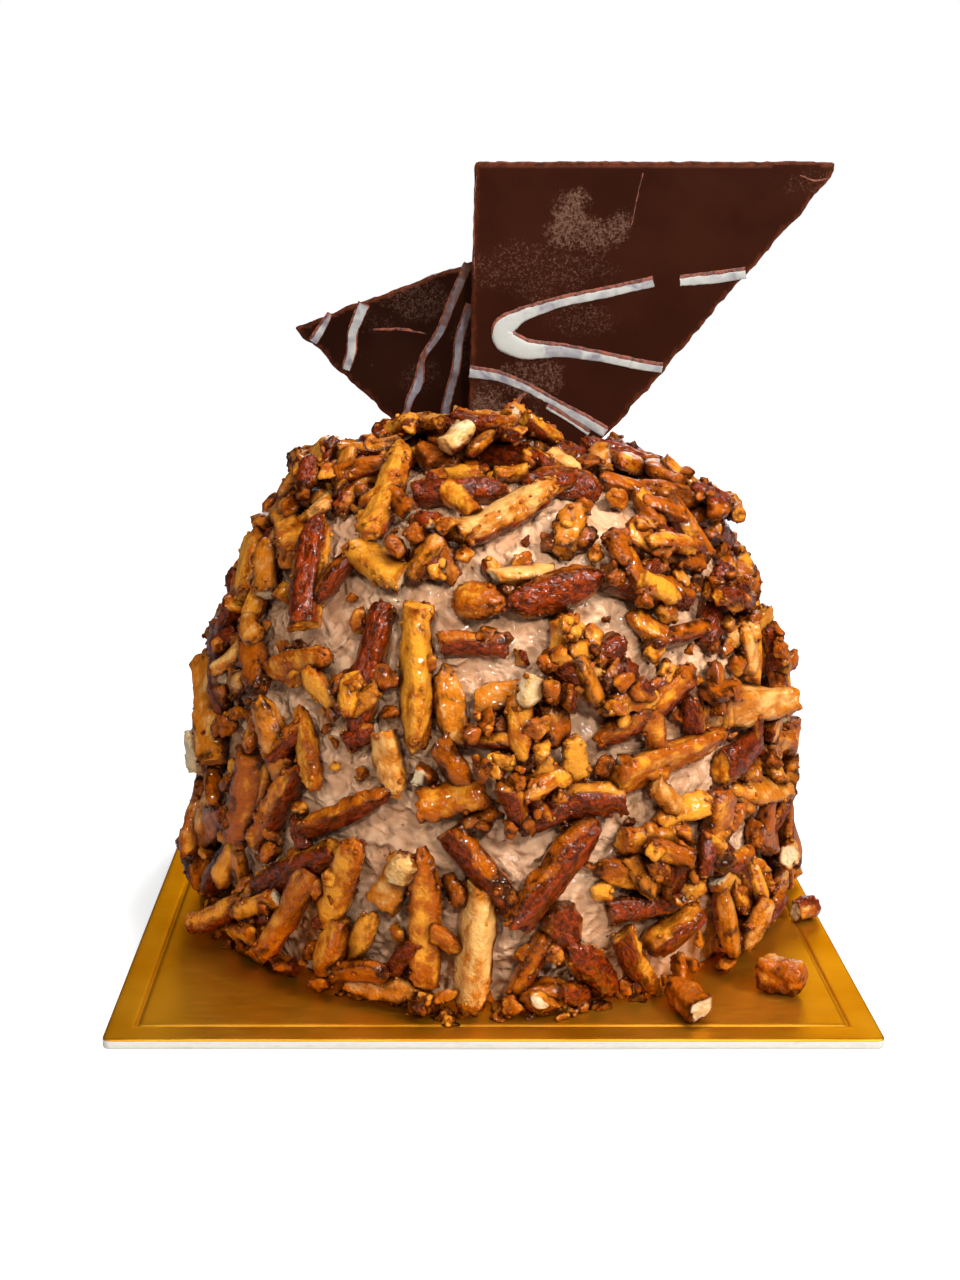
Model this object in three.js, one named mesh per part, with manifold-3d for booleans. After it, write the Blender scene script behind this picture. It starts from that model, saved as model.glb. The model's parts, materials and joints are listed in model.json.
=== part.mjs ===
// A domed coffee cream cake, covered with caramelised almond slivers, with two dark chocolate plaques
// standing in its top, on a square gold cake board.
//
// Frame: millimetres, +Z up, origin at the middle of the board's underside. The shown side faces -Y.
// A place on the dome is given by its turn (degrees round the dome, 0 at the shown side, + to the right)
// and its way down (millimetres along the cream from the very top).

import * as THREE from "three";
import { mergeVertices } from "three/addons/utils/BufferGeometryUtils.js";
import Module from "manifold-3d";

const wasm = await Module();
wasm.setup();

// ---------------------------------------------------------------- driving dimensions, mm and degrees

const BOARD_SIDE = 140;
const BOARD_THICKNESS = 2;
const BOARD_CORNER_RADIUS = 1.5;
const BOARD_LINE_INSET = 5.5;
const BOARD_LINE_WIDTH = 1.0;
const BOARD_LINE_DEPTH = 0.35;

const CREAM_X = 2; // the cake stands a little to the right on its board
const CREAM_RADIUS = 58;
const CREAM_HEIGHT = 95;
const CREAM_SQUARENESS = 3.2; // 2 would be a plain half ellipse
const CREAM_SWELL = 0.5;
const CREAM_TURN_STEPS = 24;
const CREAM_RISE_STEPS = 9;

const PLAQUE_THICKNESS = 3;
const PLAQUE_SLOT_GAP = 0.3;
const FRONT_PLAQUE_Y = 2;
const BACK_PLAQUE_Y = 9;
const BACK_PLAQUE_TURN = -4;
// Outlines in the plane of the plaque: across the shown side, and up from the board's top.
const FRONT_PLAQUE_OUTLINE = [[-3.9, 79], [8.5, 79], [23.4, 97], [68.8, 150.8], [68.6, 152.8], [-2.5, 152.8]];
const BACK_PLAQUE_OUTLINE = [[3.5, 80], [9.5, 80], [12.5, 139.3], [-39.8, 120]];

const SLIVER_BACK_SHARE = 0.7; // of its width, across the narrower back
const SLIVER_THICKNESS_SHARE = 0.8; // of its width
const LONG_SLIVER_END = 0.62; // of its width, at the two ends
const SHORT_SLIVER_END = 0.82;
const LONG_SLIVER = 17; // from this length on, a sliver keeps its full width over its middle part
const SUNK_SHARE = 0.25; // of a piece's thickness, pressed into the cream
const STACK_SHARE = 0.38; // of the thickness of the piece below, where one lies on another
const STEEPEST_TIP = 0.45; // slope of a piece that leans on another
const STACK_REACH = 0.4; // of the widths of two pieces, within which one rests on the other
const SETTLING = 2.4; // sinks a leaning piece by this much for each unit of slope
const HIGHEST_STACK = 3.4;

const FILL_PLACES = 232; // places tried; crowded ones stay empty
const FILL_SEED = 20611;
const FRONT_HALF_TURN = 72; // within it the slivers placed by hand leave only gaps to fill
const ROOM_ROUND_NODES = 0.5;
// Where the two plaques leave the cake: from and to across it, where the almonds stay clear of them.
const FRONT_PLAQUE_FOOT = [-5, 26];
const BACK_PLAQUE_FOOT = [-24, 11];
const LOOSE_ALMOND_REACH = 12; // up to this height a piece could meet an almond that lies on the board

// ------------------------------------------------ pieces that stand out, placed by hand on the shown side

// Turn, way down, lean from level (anticlockwise), length, width, look, and tip where an end stands out.
const SHOWN_SLIVERS = [
  [-41, 9, 40, 9, 5.5, "pale"],
  [-65, 15, 120, 14, 4.5, "golden"],
  [46, 8, 125, 13, 4.5, "golden"],
  [43, 16, 55, 13, 5.5, "golden"],
  [-36, 20, 155, 12, 6, "golden"],
  [-64, 22, 150, 14, 5, "golden"],
  [-88, 22, 20, 13, 4.5, "golden", 25],
  [77, 26, 90, 14, 5.5, "golden"],
  [-76, 30, 75, 13, 5.5, "golden", 15],
  [-14, 31, 10, 18, 6, "half"],
  [24, 29, 155, 15, 6.5, "half"],
  [-54, 34, 90, 12, 5.5, "skin"],
  [50, 32, 140, 11, 4.5, "golden"],
  [-39, 33, 110, 26, 6.5, "golden"],
  [-84, 39, 75, 14, 6, "golden", 15],
  [2, 37, 35, 23, 7, "pale"],
  [65, 38, 140, 19, 7, "golden", -12],
  [47, 40, 80, 10, 5, "golden"],
  [19, 42, 130, 8, 6, "golden"],
  [-18, 45, 110, 12, 7, "skin"],
  [-63, 48, 160, 24, 6.5, "golden", -8],
  [58, 45, 95, 14, 5.5, "golden"],
  [38, 48, 160, 23, 6.5, "golden"],
  [-29, 50, 160, 12, 7, "golden"],
  [-1, 51, 125, 10, 4.5, "half"],
  [-45, 53, 110, 23, 6.5, "skin"],
  [33, 55, 160, 19, 6.5, "half"],
  [11, 54, 15, 19, 7, "skin"],
  [-5, 56, 170, 9, 7, "golden"],
  [-66, 60, 100, 14, 5.5, "golden"],
  [-78, 61, 85, 14, 5.5, "golden"],
  [53, 60, 50, 18, 5, "skin", 10],
  [65, 61, 160, 16, 6.5, "skin"],
  [-6, 63, 0, 12, 5, "half"],
  [39, 64, 5, 16, 5, "half"],
  [-78, 70, 50, 14, 5.5, "half"],
  [-45, 70, 20, 18, 5.5, "golden"],
  [-17, 69, 95, 26, 6.5, "golden"],
  [-27, 70, 85, 28, 6.5, "skin"],
  [63, 71, 75, 14, 6, "golden"],
  [74, 72, 100, 14, 6, "golden"],
  [-56, 73, 135, 12, 5.5, "golden"],
  [0, 72, 10, 10, 6, "pale"],
  [-10, 74, 105, 15, 5.5, "pale"],
  [28, 76, 25, 24, 7.5, "half"],
  [-76, 81, 100, 14, 6.5, "skin"],
  [55, 80, -10, 24, 7, "pale", 22],
  [12, 63, 80, 10, 6.5, "golden"],
  [20, 65, 15, 9, 6, "skin"],
  [17, 71, 130, 9, 5.5, "golden"],
  [23, 71, 70, 9, 5.5, "half"],
  [3, 79, 30, 11, 7, "skin"],
  [8, 77, 100, 9, 6, "golden"],
  [12, 83, 110, 9, 5, "golden"],
  [32, 85, 10, 27, 7, "golden"],
  [-39, 85, 110, 16, 5, "golden"],
  [-47, 85, 110, 17, 6, "pale"],
  [-21, 85, 105, 12, 6, "pale"],
  [53, 89, 10, 14, 6.5, "skin"],
  [-9, 90, 15, 12, 7, "golden"],
  [14, 91, 0, 15, 6.5, "half"],
  [72, 92, -20, 14, 6, "golden", 25],
  [-29, 95, 30, 22, 5.5, "half"],
  [34, 96, 5, 13, 5.5, "golden"],
  [43, 98, 100, 10, 7, "golden"],
  [-56, 99, 75, 20, 7, "golden"],
  [59, 98, -15, 22, 6.5, "pale", 15],
  [-46, 98, 55, 24, 5.5, "half"],
  [28, 100, 0, 14, 5.5, "golden"],
  [-4, 103, 130, 18, 6.5, "half"],
  [9, 104, 50, 24, 7, "half"],
  [40, 105, 45, 13, 5, "pale"],
  [-19, 107, 65, 11, 7, "pale"],
  [25, 107, 160, 18, 5.5, "golden"],
  [-41, 109, 30, 26, 6, "skin"],
  [-30, 109, 70, 21, 7, "golden"],
  [65, 110, 155, 15, 6.5, "golden"],
  [-14, 112, 90, 27, 6.5, "golden"],
  [27, 113, 0, 15, 5.5, "skin"],
  [11, 115, 100, 10, 7, "skin"],
  [49, 115, 140, 14, 6, "golden"],
  [33, 119, 30, 13, 7.5, "skin"],
  [-26, 119, 60, 15, 5, "golden"],
  [5, 121, 65, 13, 5, "half"],
  [67, 121, 145, 15, 6, "golden"],
  [-5, 118, 85, 25, 7.5, "pale", -12],
  [16, 123, 130, 16, 6, "skin"],
  [24, 123, 115, 13, 5, "half"],
  [55, 124, 10, 24, 8, "half"],
  [7, 127, 0, 10, 6.5, "golden"],
  [-21, 127, 0, 15, 6, "pale"],
  [80, 121, 110, 15, 6, "pale", -12],
  [-54, 126, 5, 16, 6, "golden"],
  [-94, 125, 20, 13, 6.5, "skin"],
];

// Places where the cream shows: turn, way down and radius.
const BARE_CREAM = [
  [-51, 62, 4.6], [-35, 61, 4.8], [-11, 53, 7], [9, 46, 4.4], [21, 60, 7.6], [33, 56, 4.4],
  [47, 70, 3.8], [32, 37, 4.5], [35, 88, 4], [21, 95, 4], [-16, 94, 4.3], [-33, 91, 4],
  [3, 99, 5], [15, 107, 4], [19, 116, 4.8], [-10, 105, 2.5], [50, 105, 3.5], [-6, 67, 4.7],
  [-15, 82, 3.6], [3, 118, 3.6], [100, 62, 8], [140, 88, 9], [178, 58, 9], [-150, 92, 8],
  [-115, 70, 8], [-135, 45, 7], [125, 40, 6], [-172, 104, 7], [105, 104, 6],
];

// Almonds that lie by themselves on the board: name, x, y, heading, length, width, height, look.
const LOOSE_ALMONDS = [
  ["almond_chip_right", 66.6, -15, 35, 6, 5, 4.6, "skin"],
  ["almond_chunk_right", 55, -50.5, 150, 9.5, 7.5, 6.8, "golden"],
  ["almond_sliver_front", 36.2, -59.6, -72, 11, 6, 5.2, "half"],
];

// ---------------------------------------------------------------------------------------- small tools

const radians = THREE.MathUtils.degToRad;

// A seeded draw from 0 up to 1.
function makeDraw(seed) {
  let state = seed;
  return () => {
    state = (Math.imul(state, 1664525) + 1013904223) >>> 0;
    return state / 4294967296;
  };
}

// A closed three.js geometry as a solid that can be joined and cut.
function toSolid(geometry) {
  const bare = geometry.clone();
  bare.deleteAttribute("normal");
  bare.deleteAttribute("uv");
  const closed = mergeVertices(bare, 1e-5);
  const vertProperties = new Float32Array(closed.attributes.position.array);
  const triVerts = new Uint32Array(closed.index.array);
  return new wasm.Manifold(new wasm.Mesh({ numProp: 3, vertProperties, triVerts }));
}

function toGeometry(solid) {
  const { vertProperties, triVerts } = solid.getMesh();
  const geometry = new THREE.BufferGeometry();
  geometry.setAttribute("position", new THREE.BufferAttribute(vertProperties, 3));
  geometry.setIndex(new THREE.BufferAttribute(triVerts, 1));
  geometry.computeVertexNormals();
  return geometry;
}

function named(name, geometry, color, roughness, metalness = 0) {
  const mesh = new THREE.Mesh(geometry, new THREE.MeshStandardMaterial({ color, roughness, metalness }));
  mesh.name = name;
  return mesh;
}

// ------------------------------------------------------------------------------------- the cream dome

// The dome's side line, from the top down to the board: way down, radius, height and area so far.
const sideLine = makeSideLine(600);

function makeSideLine(steps) {
  const line = [{ down: 0, radius: 0, height: CREAM_HEIGHT, area: 0 }];
  for (let i = 1; i <= steps; i += 1) {
    const angle = (Math.PI / 2) * (i / steps);
    const radius = CREAM_RADIUS * Math.sin(angle) ** (2 / CREAM_SQUARENESS);
    const height = CREAM_HEIGHT * Math.max(Math.cos(angle), 0) ** (2 / CREAM_SQUARENESS);
    const last = line[i - 1];
    const step = Math.hypot(radius - last.radius, height - last.height);
    const area = last.area + Math.PI * (radius + last.radius) * step;
    line.push({ down: last.down + step, radius, height, area });
  }
  return line;
}

// The entry of the side line at which a measure (its way down or its area) has grown to a value.
function along(measure, value) {
  const found = sideLine.findIndex((entry) => entry[measure] >= value);
  return found < 0 ? sideLine.length - 1 : found;
}

// A point of the cream, with the directions level to the right, up the slope and straight out.
function domePlace(turn, down) {
  const here = along("down", down);
  const upper = sideLine[Math.max(here - 4, 0)];
  const lower = sideLine[Math.min(here + 4, sideLine.length - 1)];
  const slope = Math.hypot(upper.radius - lower.radius, upper.height - lower.height);
  const inward = (upper.radius - lower.radius) / slope;
  const rise = (upper.height - lower.height) / slope;
  const [sin, cos] = [Math.sin(radians(turn)), Math.cos(radians(turn))];
  const { radius, height } = sideLine[here];
  const level = new THREE.Vector3(cos, sin, 0);
  const upward = new THREE.Vector3(sin * inward, -cos * inward, rise);
  const point = new THREE.Vector3(sin * radius + CREAM_X, -cos * radius, height + BOARD_THICKNESS);
  return { point, level, upward, out: new THREE.Vector3().crossVectors(level, upward) };
}

function creamDome() {
  const bottom = new THREE.Vector2(0, 0);
  const outline = [bottom];
  for (let i = 0; i <= CREAM_RISE_STEPS; i += 1) {
    const { radius, height } = sideLine[along("down", sideLine.at(-1).down * (1 - i / CREAM_RISE_STEPS))];
    outline.push(new THREE.Vector2(radius, height));
  }
  const dome = new THREE.LatheGeometry(outline, CREAM_TURN_STEPS);
  dome.rotateX(Math.PI / 2);
  const position = dome.attributes.position;
  for (let i = 0; i < position.count; i += 1) {
    const [x, y, z] = [position.getX(i), position.getY(i), position.getZ(i)];
    const turn = Math.atan2(x, -y);
    const swell = Math.sin(3 * turn + z / 14) + Math.sin(5 * turn - z / 9);
    const factor = 1 - (CREAM_SWELL * (1 + swell)) / 2 / CREAM_RADIUS;
    position.setXYZ(i, x * factor + CREAM_X, y * factor, z + BOARD_THICKNESS);
  }
  return toSolid(dome);
}

// ---------------------------------------------------------------------------------------- the almonds

// How far the middle of a piece's side line, or another point of it, is from a given point.
function gapToPiece(piece, point) {
  const offset = new THREE.Vector3().subVectors(point, piece.place.point);
  const reach = piece.length / 2;
  const run = THREE.MathUtils.clamp(offset.dot(piece.heading), -reach, reach);
  offset.addScaledVector(piece.heading, -run);
  return { gap: offset.length(), run };
}

// The height that pieces already laid give to a new one of this width, at a point of the cream.
function supportAt(laid, point, width) {
  let height = 0;
  for (const piece of laid) {
    const { gap, run } = gapToPiece(piece, point);
    const share = gap / ((piece.width + width) * STACK_REACH);
    if (share < 1) {
      const rise = piece.thickness * STACK_SHARE * Math.sqrt(1 - share * share);
      height = Math.max(height, piece.low + run * piece.tip + rise);
    }
  }
  return height;
}

// Whether a spot with some room round it would touch a plaque where it leaves the cake.
function nearPlaque(spot, room, foot, y, turn) {
  const across = spot.y - y - Math.tan(radians(turn)) * spot.x;
  const within = spot.x > foot[0] - room && spot.x < foot[1] + room;
  return within && spot.z > CREAM_HEIGHT / 2 && Math.abs(across) < PLAQUE_THICKNESS / 2 + room;
}

// Whether a piece would come too near a plaque or an almond that lies by itself on the board.
function meetsOtherNodes({ place, heading, low, tip, length, width, thickness }) {
  const room = width / 2 + ROOM_ROUND_NODES;
  return [-0.5, -0.25, 0, 0.25, 0.5].some((share) => {
    const spot = place.point.clone().addScaledVector(heading, share * length);
    spot.addScaledVector(place.out, low + 0.3 * thickness + share * length * tip);
    const nearAlmond = LOOSE_ALMONDS.some(([, x, y, , looseLength, looseWidth]) => {
      const reach = (looseLength + looseWidth) / 4 + room;
      return spot.z < LOOSE_ALMOND_REACH && Math.hypot(spot.x - x, spot.y - y) < reach;
    });
    const nearFront = nearPlaque(spot, room, FRONT_PLAQUE_FOOT, FRONT_PLAQUE_Y, 0);
    const nearBack = nearPlaque(spot, room, BACK_PLAQUE_FOOT, BACK_PLAQUE_Y, BACK_PLAQUE_TURN);
    return nearAlmond || nearFront || nearBack;
  });
}

// A piece laid on the cream or on the pieces below it, or nothing where there is no room for it.
function layPiece(laid, [turn, down, lean, length, width, look, tip = 0], coverAllowed) {
  const place = domePlace(turn, down);
  const thickness = width * SLIVER_THICKNESS_SHARE;
  const heading = place.level.clone().multiplyScalar(Math.cos(radians(lean)));
  heading.addScaledVector(place.upward, Math.sin(radians(lean)));
  const heights = [-0.4, -0.2, 0, 0.2, 0.4].map((share) => {
    const spot = place.point.clone().addScaledVector(heading, share * length);
    return supportAt(laid, spot, width);
  });
  const covered = heights.filter((height) => height > 1).length;
  const [first, , middle, , last] = heights;
  const slope = THREE.MathUtils.clamp((last - first) / (0.8 * length), -STEEPEST_TIP, STEEPEST_TIP);
  const low = Math.max((first + last) / 2, middle) - SETTLING * Math.abs(slope);
  const piece = { place, heading, length, width, thickness, look };
  piece.low = Math.min(low, HIGHEST_STACK);
  piece.tip = slope + Math.tan(radians(tip));
  if (covered > coverAllowed || meetsOtherNodes(piece)) return null;
  return piece;
}

// All the pieces on the dome: those placed by hand, then others in the gaps that they leave, at places
// spread evenly over the dome by the golden angle and nudged by seeded draws.
function layAlmonds() {
  const laid = [];
  for (const row of SHOWN_SLIVERS) {
    const piece = layPiece(laid, row, 5);
    if (piece) laid.push(piece);
  }
  const draw = makeDraw(FILL_SEED);
  const goldenAngle = 180 * (3 - Math.sqrt(5));
  const { area: wholeArea, down: wholeDown } = sideLine.at(-1);
  for (let i = 0; i < FILL_PLACES; i += 1) {
    const area = (wholeArea * (i + draw())) / FILL_PLACES;
    const turn = ((i * goldenAngle + 8 * (draw() - 0.5)) % 360) - 180;
    const down = Math.min(sideLine[along("area", area)].down, wholeDown - 4);
    const lean = 180 * draw();
    const length = 14 + 12 * draw();
    const sort = draw();
    const width = 5 + 2.4 * sort;
    const look = sort < 0.2 ? "skin" : sort < 0.42 ? "half" : sort < 0.85 ? "golden" : "pale";
    const tip = 16 * (draw() - 0.5);
    const front = Math.abs(turn) < FRONT_HALF_TURN;
    const spot = domePlace(turn, down).point;
    const bare = BARE_CREAM.some(([bareTurn, bareDown, radius]) => {
      const middle = domePlace(bareTurn, bareDown).point;
      return middle.distanceTo(spot) < radius + 0.25 * length;
    });
    const row = [turn, down, lean, length, width, look, tip];
    const piece = bare ? null : layPiece(laid, row, front ? 1 : 3);
    if (piece) laid.push(piece);
  }
  return laid;
}

// One sliver of unit size, long in x: a cut face below, a narrower back with the skin on top, thin ends.
function sliverShape(steps, endShare) {
  const stick = new THREE.BoxGeometry(1, 1, 1, steps, 1, 1);
  const position = stick.attributes.position;
  for (let i = 0; i < position.count; i += 1) {
    const [x, y, z] = [position.getX(i), position.getY(i), position.getZ(i)];
    const atEnd = Math.abs(x) > 0.4;
    const share = atEnd ? endShare : 1;
    const back = z > 0 ? SLIVER_BACK_SHARE : 1;
    position.setXYZ(i, atEnd ? x : Math.sign(x) * 0.3, y * share * back, z * share);
  }
  return stick;
}

const PIECE_ROLL = { golden: 180, pale: 165, half: 60, skin: 0 };
const longSliver = sliverShape(3, LONG_SLIVER_END);
const shortSliver = sliverShape(1, SHORT_SLIVER_END);

function almondSolid(piece) {
  const { place, heading, low, tip, length, width, thickness, look } = piece;
  const axis = heading.clone().addScaledVector(place.out, tip).normalize();
  const side = new THREE.Vector3().crossVectors(place.out, axis).normalize();
  const top = new THREE.Vector3().crossVectors(axis, side);
  const middle = place.point.clone().addScaledVector(place.out, low + thickness * (0.5 - SUNK_SHARE));
  const pose = new THREE.Matrix4().makeBasis(axis, side, top).setPosition(middle);
  pose.multiply(new THREE.Matrix4().makeRotationX(radians(PIECE_ROLL[look])));
  pose.multiply(new THREE.Matrix4().makeScale(length, width, thickness));
  const shape = length < LONG_SLIVER ? shortSliver : longSliver;
  return toSolid(shape.clone().applyMatrix4(pose));
}

// A block that stands on the board's top and is larger than the cake.
function roomAboveBoard() {
  const block = new THREE.BoxGeometry(2 * BOARD_SIDE, 2 * BOARD_SIDE, 2 * BOARD_SIDE);
  block.translate(0, 0, BOARD_SIDE + BOARD_THICKNESS);
  return toSolid(block);
}

// A lying almond, cut flat where it rests on the board.
function looseAlmond([, x, y, heading, length, width, height, look]) {
  const almond = new THREE.CylinderGeometry(0.5, 0.5, 1, 7, 4);
  almond.rotateZ(-Math.PI / 2);
  const position = almond.attributes.position;
  for (let i = 0; i < position.count; i += 1) {
    const narrowing = 1 - 0.5 * (2 * Math.abs(position.getX(i))) ** 2.4;
    position.setY(i, position.getY(i) * narrowing);
    position.setZ(i, position.getZ(i) * narrowing);
  }
  almond.rotateX(radians(PIECE_ROLL[look]));
  almond.scale(length, width, height * 1.1);
  almond.rotateZ(radians(heading));
  almond.translate(x, y, BOARD_THICKNESS + height * 0.45);
  return toGeometry(toSolid(almond).intersect(roomAboveBoard()));
}

// ---------------------------------------------------------------------------------------- the plaques

// A plaque stands upright across the cake. A grown one is the slot that it stands in.
function plaqueGeometry(outline, y, turn, growth = 0) {
  const middleX = outline.reduce((sum, [x]) => sum + x, 0) / outline.length;
  const middleZ = outline.reduce((sum, [, z]) => sum + z, 0) / outline.length;
  const points = outline.map(([x, z]) => {
    const away = new THREE.Vector2(x - middleX, z - middleZ);
    const grown = away.clone().setLength(away.length() + 2 * growth);
    return new THREE.Vector2(middleX + grown.x, middleZ + grown.y);
  });
  const depth = PLAQUE_THICKNESS + 2 * growth;
  const plaque = new THREE.ExtrudeGeometry(new THREE.Shape(points), { depth, bevelEnabled: false });
  plaque.translate(0, 0, -depth / 2);
  plaque.rotateX(Math.PI / 2);
  plaque.rotateZ(radians(turn));
  plaque.translate(0, y, BOARD_THICKNESS);
  return plaque;
}

// ------------------------------------------------------------------------------------------ the board

function boardGeometry() {
  const half = BOARD_SIDE / 2;
  const straight = half - BOARD_CORNER_RADIUS;
  const outline = new THREE.Shape();
  outline.absarc(straight, straight, BOARD_CORNER_RADIUS, 0, Math.PI / 2);
  outline.absarc(-straight, straight, BOARD_CORNER_RADIUS, Math.PI / 2, Math.PI);
  outline.absarc(-straight, -straight, BOARD_CORNER_RADIUS, Math.PI, 1.5 * Math.PI);
  outline.absarc(straight, -straight, BOARD_CORNER_RADIUS, 1.5 * Math.PI, 2 * Math.PI);
  const sheet = { depth: BOARD_THICKNESS, bevelEnabled: false, curveSegments: 4 };
  const slab = new THREE.ExtrudeGeometry(outline, sheet);
  // The pressed line is a square ring: a V section turned in four steps, so its corners are mitred.
  const corner = Math.SQRT2;
  const middle = (half - BOARD_LINE_INSET) * corner;
  const reach = (BOARD_LINE_WIDTH / 2) * corner;
  const section = [
    new THREE.Vector2(middle - 2 * reach, BOARD_THICKNESS + BOARD_LINE_DEPTH),
    new THREE.Vector2(middle, BOARD_THICKNESS - BOARD_LINE_DEPTH),
    new THREE.Vector2(middle + 2 * reach, BOARD_THICKNESS + BOARD_LINE_DEPTH),
    new THREE.Vector2(middle - 2 * reach, BOARD_THICKNESS + BOARD_LINE_DEPTH),
  ];
  const line = new THREE.LatheGeometry(section, 4);
  line.rotateY(Math.PI / 4);
  line.rotateX(Math.PI / 2);
  return toGeometry(toSolid(slab).subtract(toSolid(line)));
}

// ------------------------------------------------------------------------------------------- the cake

// Cream and almonds as one solid. Scraps that touch nothing are dropped and sealed hollows are filled.
function cakeGeometry() {
  const frontSlot = plaqueGeometry(FRONT_PLAQUE_OUTLINE, FRONT_PLAQUE_Y, 0, PLAQUE_SLOT_GAP);
  const backSlot = plaqueGeometry(BACK_PLAQUE_OUTLINE, BACK_PLAQUE_Y, BACK_PLAQUE_TURN, PLAQUE_SLOT_GAP);
  let cake = creamDome();
  for (const piece of layAlmonds()) {
    cake = cake.add(almondSolid(piece));
  }
  cake = cake.intersect(roomAboveBoard()).subtract(toSolid(frontSlot)).subtract(toSolid(backSlot));
  const bodies = cake.decompose();
  const largest = bodies.reduce((best, body) => (body.volume() > best.volume() ? body : best));
  return toGeometry(largest);
}

const cake = new THREE.Group();
cake.add(named("cake_board", boardGeometry(), 0xc98a2b, 0.35, 0.8));
cake.add(named("almond_cake", cakeGeometry(), 0xb4712c, 0.45));
const frontPlaque = plaqueGeometry(FRONT_PLAQUE_OUTLINE, FRONT_PLAQUE_Y, 0);
const backPlaque = plaqueGeometry(BACK_PLAQUE_OUTLINE, BACK_PLAQUE_Y, BACK_PLAQUE_TURN);
cake.add(named("plaque_front", frontPlaque, 0x3d1d12, 0.4));
cake.add(named("plaque_back", backPlaque, 0x3d1d12, 0.4));
for (const almond of LOOSE_ALMONDS) {
  cake.add(named(almond[0], looseAlmond(almond), 0xa85502, 0.35));
}

export default cake;
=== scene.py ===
"""Looks of the coffee almond cake on its gold board.

A dome of coffee cream is covered with almond slivers in caramel. Two plaques of dark chocolate with
white lines stand in its top, and a square gold cake board carries it. Sizes are millimetres in the
row frame (+Z up, origin at the middle of the board's underside, shown side towards -Y) until a mesh
is made, which is in metres.
"""

from __future__ import annotations

import json
import logging
import math
from collections.abc import Callable, Iterator, Mapping, Sequence
from dataclasses import dataclass, field
from enum import Enum
from functools import cached_property, partial
from itertools import pairwise, product
from math import hypot, pi, radians, sqrt

import bmesh
import bpy
import numpy as np
from bpy.types import Collection, Material, NodeSocket, NodeTree, Object
from mathutils import Matrix, Vector
from mathutils.geometry import delaunay_2d_cdt
from numpy import ndarray
from numpy.linalg import norm

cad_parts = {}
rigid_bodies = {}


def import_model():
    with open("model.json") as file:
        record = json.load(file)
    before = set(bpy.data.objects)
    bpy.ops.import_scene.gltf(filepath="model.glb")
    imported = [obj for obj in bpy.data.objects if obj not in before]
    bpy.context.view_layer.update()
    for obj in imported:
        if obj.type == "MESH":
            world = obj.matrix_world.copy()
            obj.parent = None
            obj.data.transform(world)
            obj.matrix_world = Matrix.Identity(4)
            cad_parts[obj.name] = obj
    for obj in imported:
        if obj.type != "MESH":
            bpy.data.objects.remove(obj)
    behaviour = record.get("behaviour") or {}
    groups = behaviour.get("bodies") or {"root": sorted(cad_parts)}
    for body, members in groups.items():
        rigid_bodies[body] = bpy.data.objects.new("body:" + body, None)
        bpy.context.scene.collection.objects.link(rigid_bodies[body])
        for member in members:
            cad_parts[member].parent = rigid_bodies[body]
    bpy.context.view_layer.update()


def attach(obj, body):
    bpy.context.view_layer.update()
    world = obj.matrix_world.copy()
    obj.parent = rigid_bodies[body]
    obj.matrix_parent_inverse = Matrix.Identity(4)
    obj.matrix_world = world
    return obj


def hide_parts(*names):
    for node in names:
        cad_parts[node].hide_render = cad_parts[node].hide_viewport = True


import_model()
scene = bpy.context.scene

log = logging.getLogger("coffee_almond_cake")

MM = 0.001
BOARD_TOP = 2.0
GOLDEN_ANGLE = 180 * (3 - sqrt(5))


MATH = "ShaderNodeMath"
VECTOR_MATH = "ShaderNodeVectorMath"
NOISE = "ShaderNodeTexNoise"
CELLS = "ShaderNodeTexVoronoi"
RANGE = "ShaderNodeMapRange"
MIX = "ShaderNodeMix"
MARK = "ShaderNodeAttribute"
NAMED = "GeometryNodeInputNamedAttribute"
FLOAT = {"data_type": "FLOAT"}
PLUS = {"operation": "ADD"}
LESS = {"operation": "SUBTRACT"}
TIMES = {"operation": "MULTIPLY"}
TIMES_PLUS = {"operation": "MULTIPLY_ADD"}
MOST = {"operation": "MAXIMUM"}
SCALE = {"operation": "SCALE"}
SMOOTH = {"interpolation_type": "SMOOTHSTEP"}
COLOURS = {"data_type": "RGBA"}
OWN_PATTERN = {"noise_dimensions": "4D"}

AddNode = Callable[..., NodeSocket]
Inputs = dict[str, object]
Rows = tuple[tuple[float, ...], ...]
Draws = np.random.Generator


def linear(shade: str) -> tuple[float, ...]:
    """Turns an sRGB hex colour, such as "#c9a183", into linear red, green, blue and an alpha of 1."""
    parts = (int(shade[i : i + 2], 16) / 255 for i in (1, 3, 5))
    return *(p / 12.92 if p <= 0.04045 else ((p + 0.055) / 1.055) ** 2.4 for p in parts), 1.0


def per_mm(size: float) -> float:
    """Gives a pattern's scale from the size of its lumps in millimetres."""
    return 1 / (size * MM)


def add_node(
    tree: NodeTree, kind: str, settings: Mapping[str, object] | None = None,
    links: Mapping[str | int, object] | Sequence[object] = (), out: str | int = 0,
) -> NodeSocket | None:
    """Adds a node with its settings, and links or sets its inputs.

    Args:
        tree: The tree that takes the node.
        kind: The node's type name.
        settings: Properties of the node, by name.
        links: What goes into each input, by name or in their order: an output, a hex colour, a value or None.
        out: The output that is wanted.

    Returns:
        That output, or None on a node without any.
    """
    node = tree.nodes.new(kind)
    for name, value in (settings or {}).items():
        setattr(node, name, value)
    for name, value in links.items() if isinstance(links, Mapping) else enumerate(links):
        if value is None:
            continue
        if isinstance(value, NodeSocket):
            tree.links.new(value, node.inputs[name])
        elif isinstance(value, str) and value.startswith("#"):
            node.inputs[name].default_value = linear(value)
        else:
            node.inputs[name].default_value = value
    return node.outputs[out] if node.outputs else None


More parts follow.
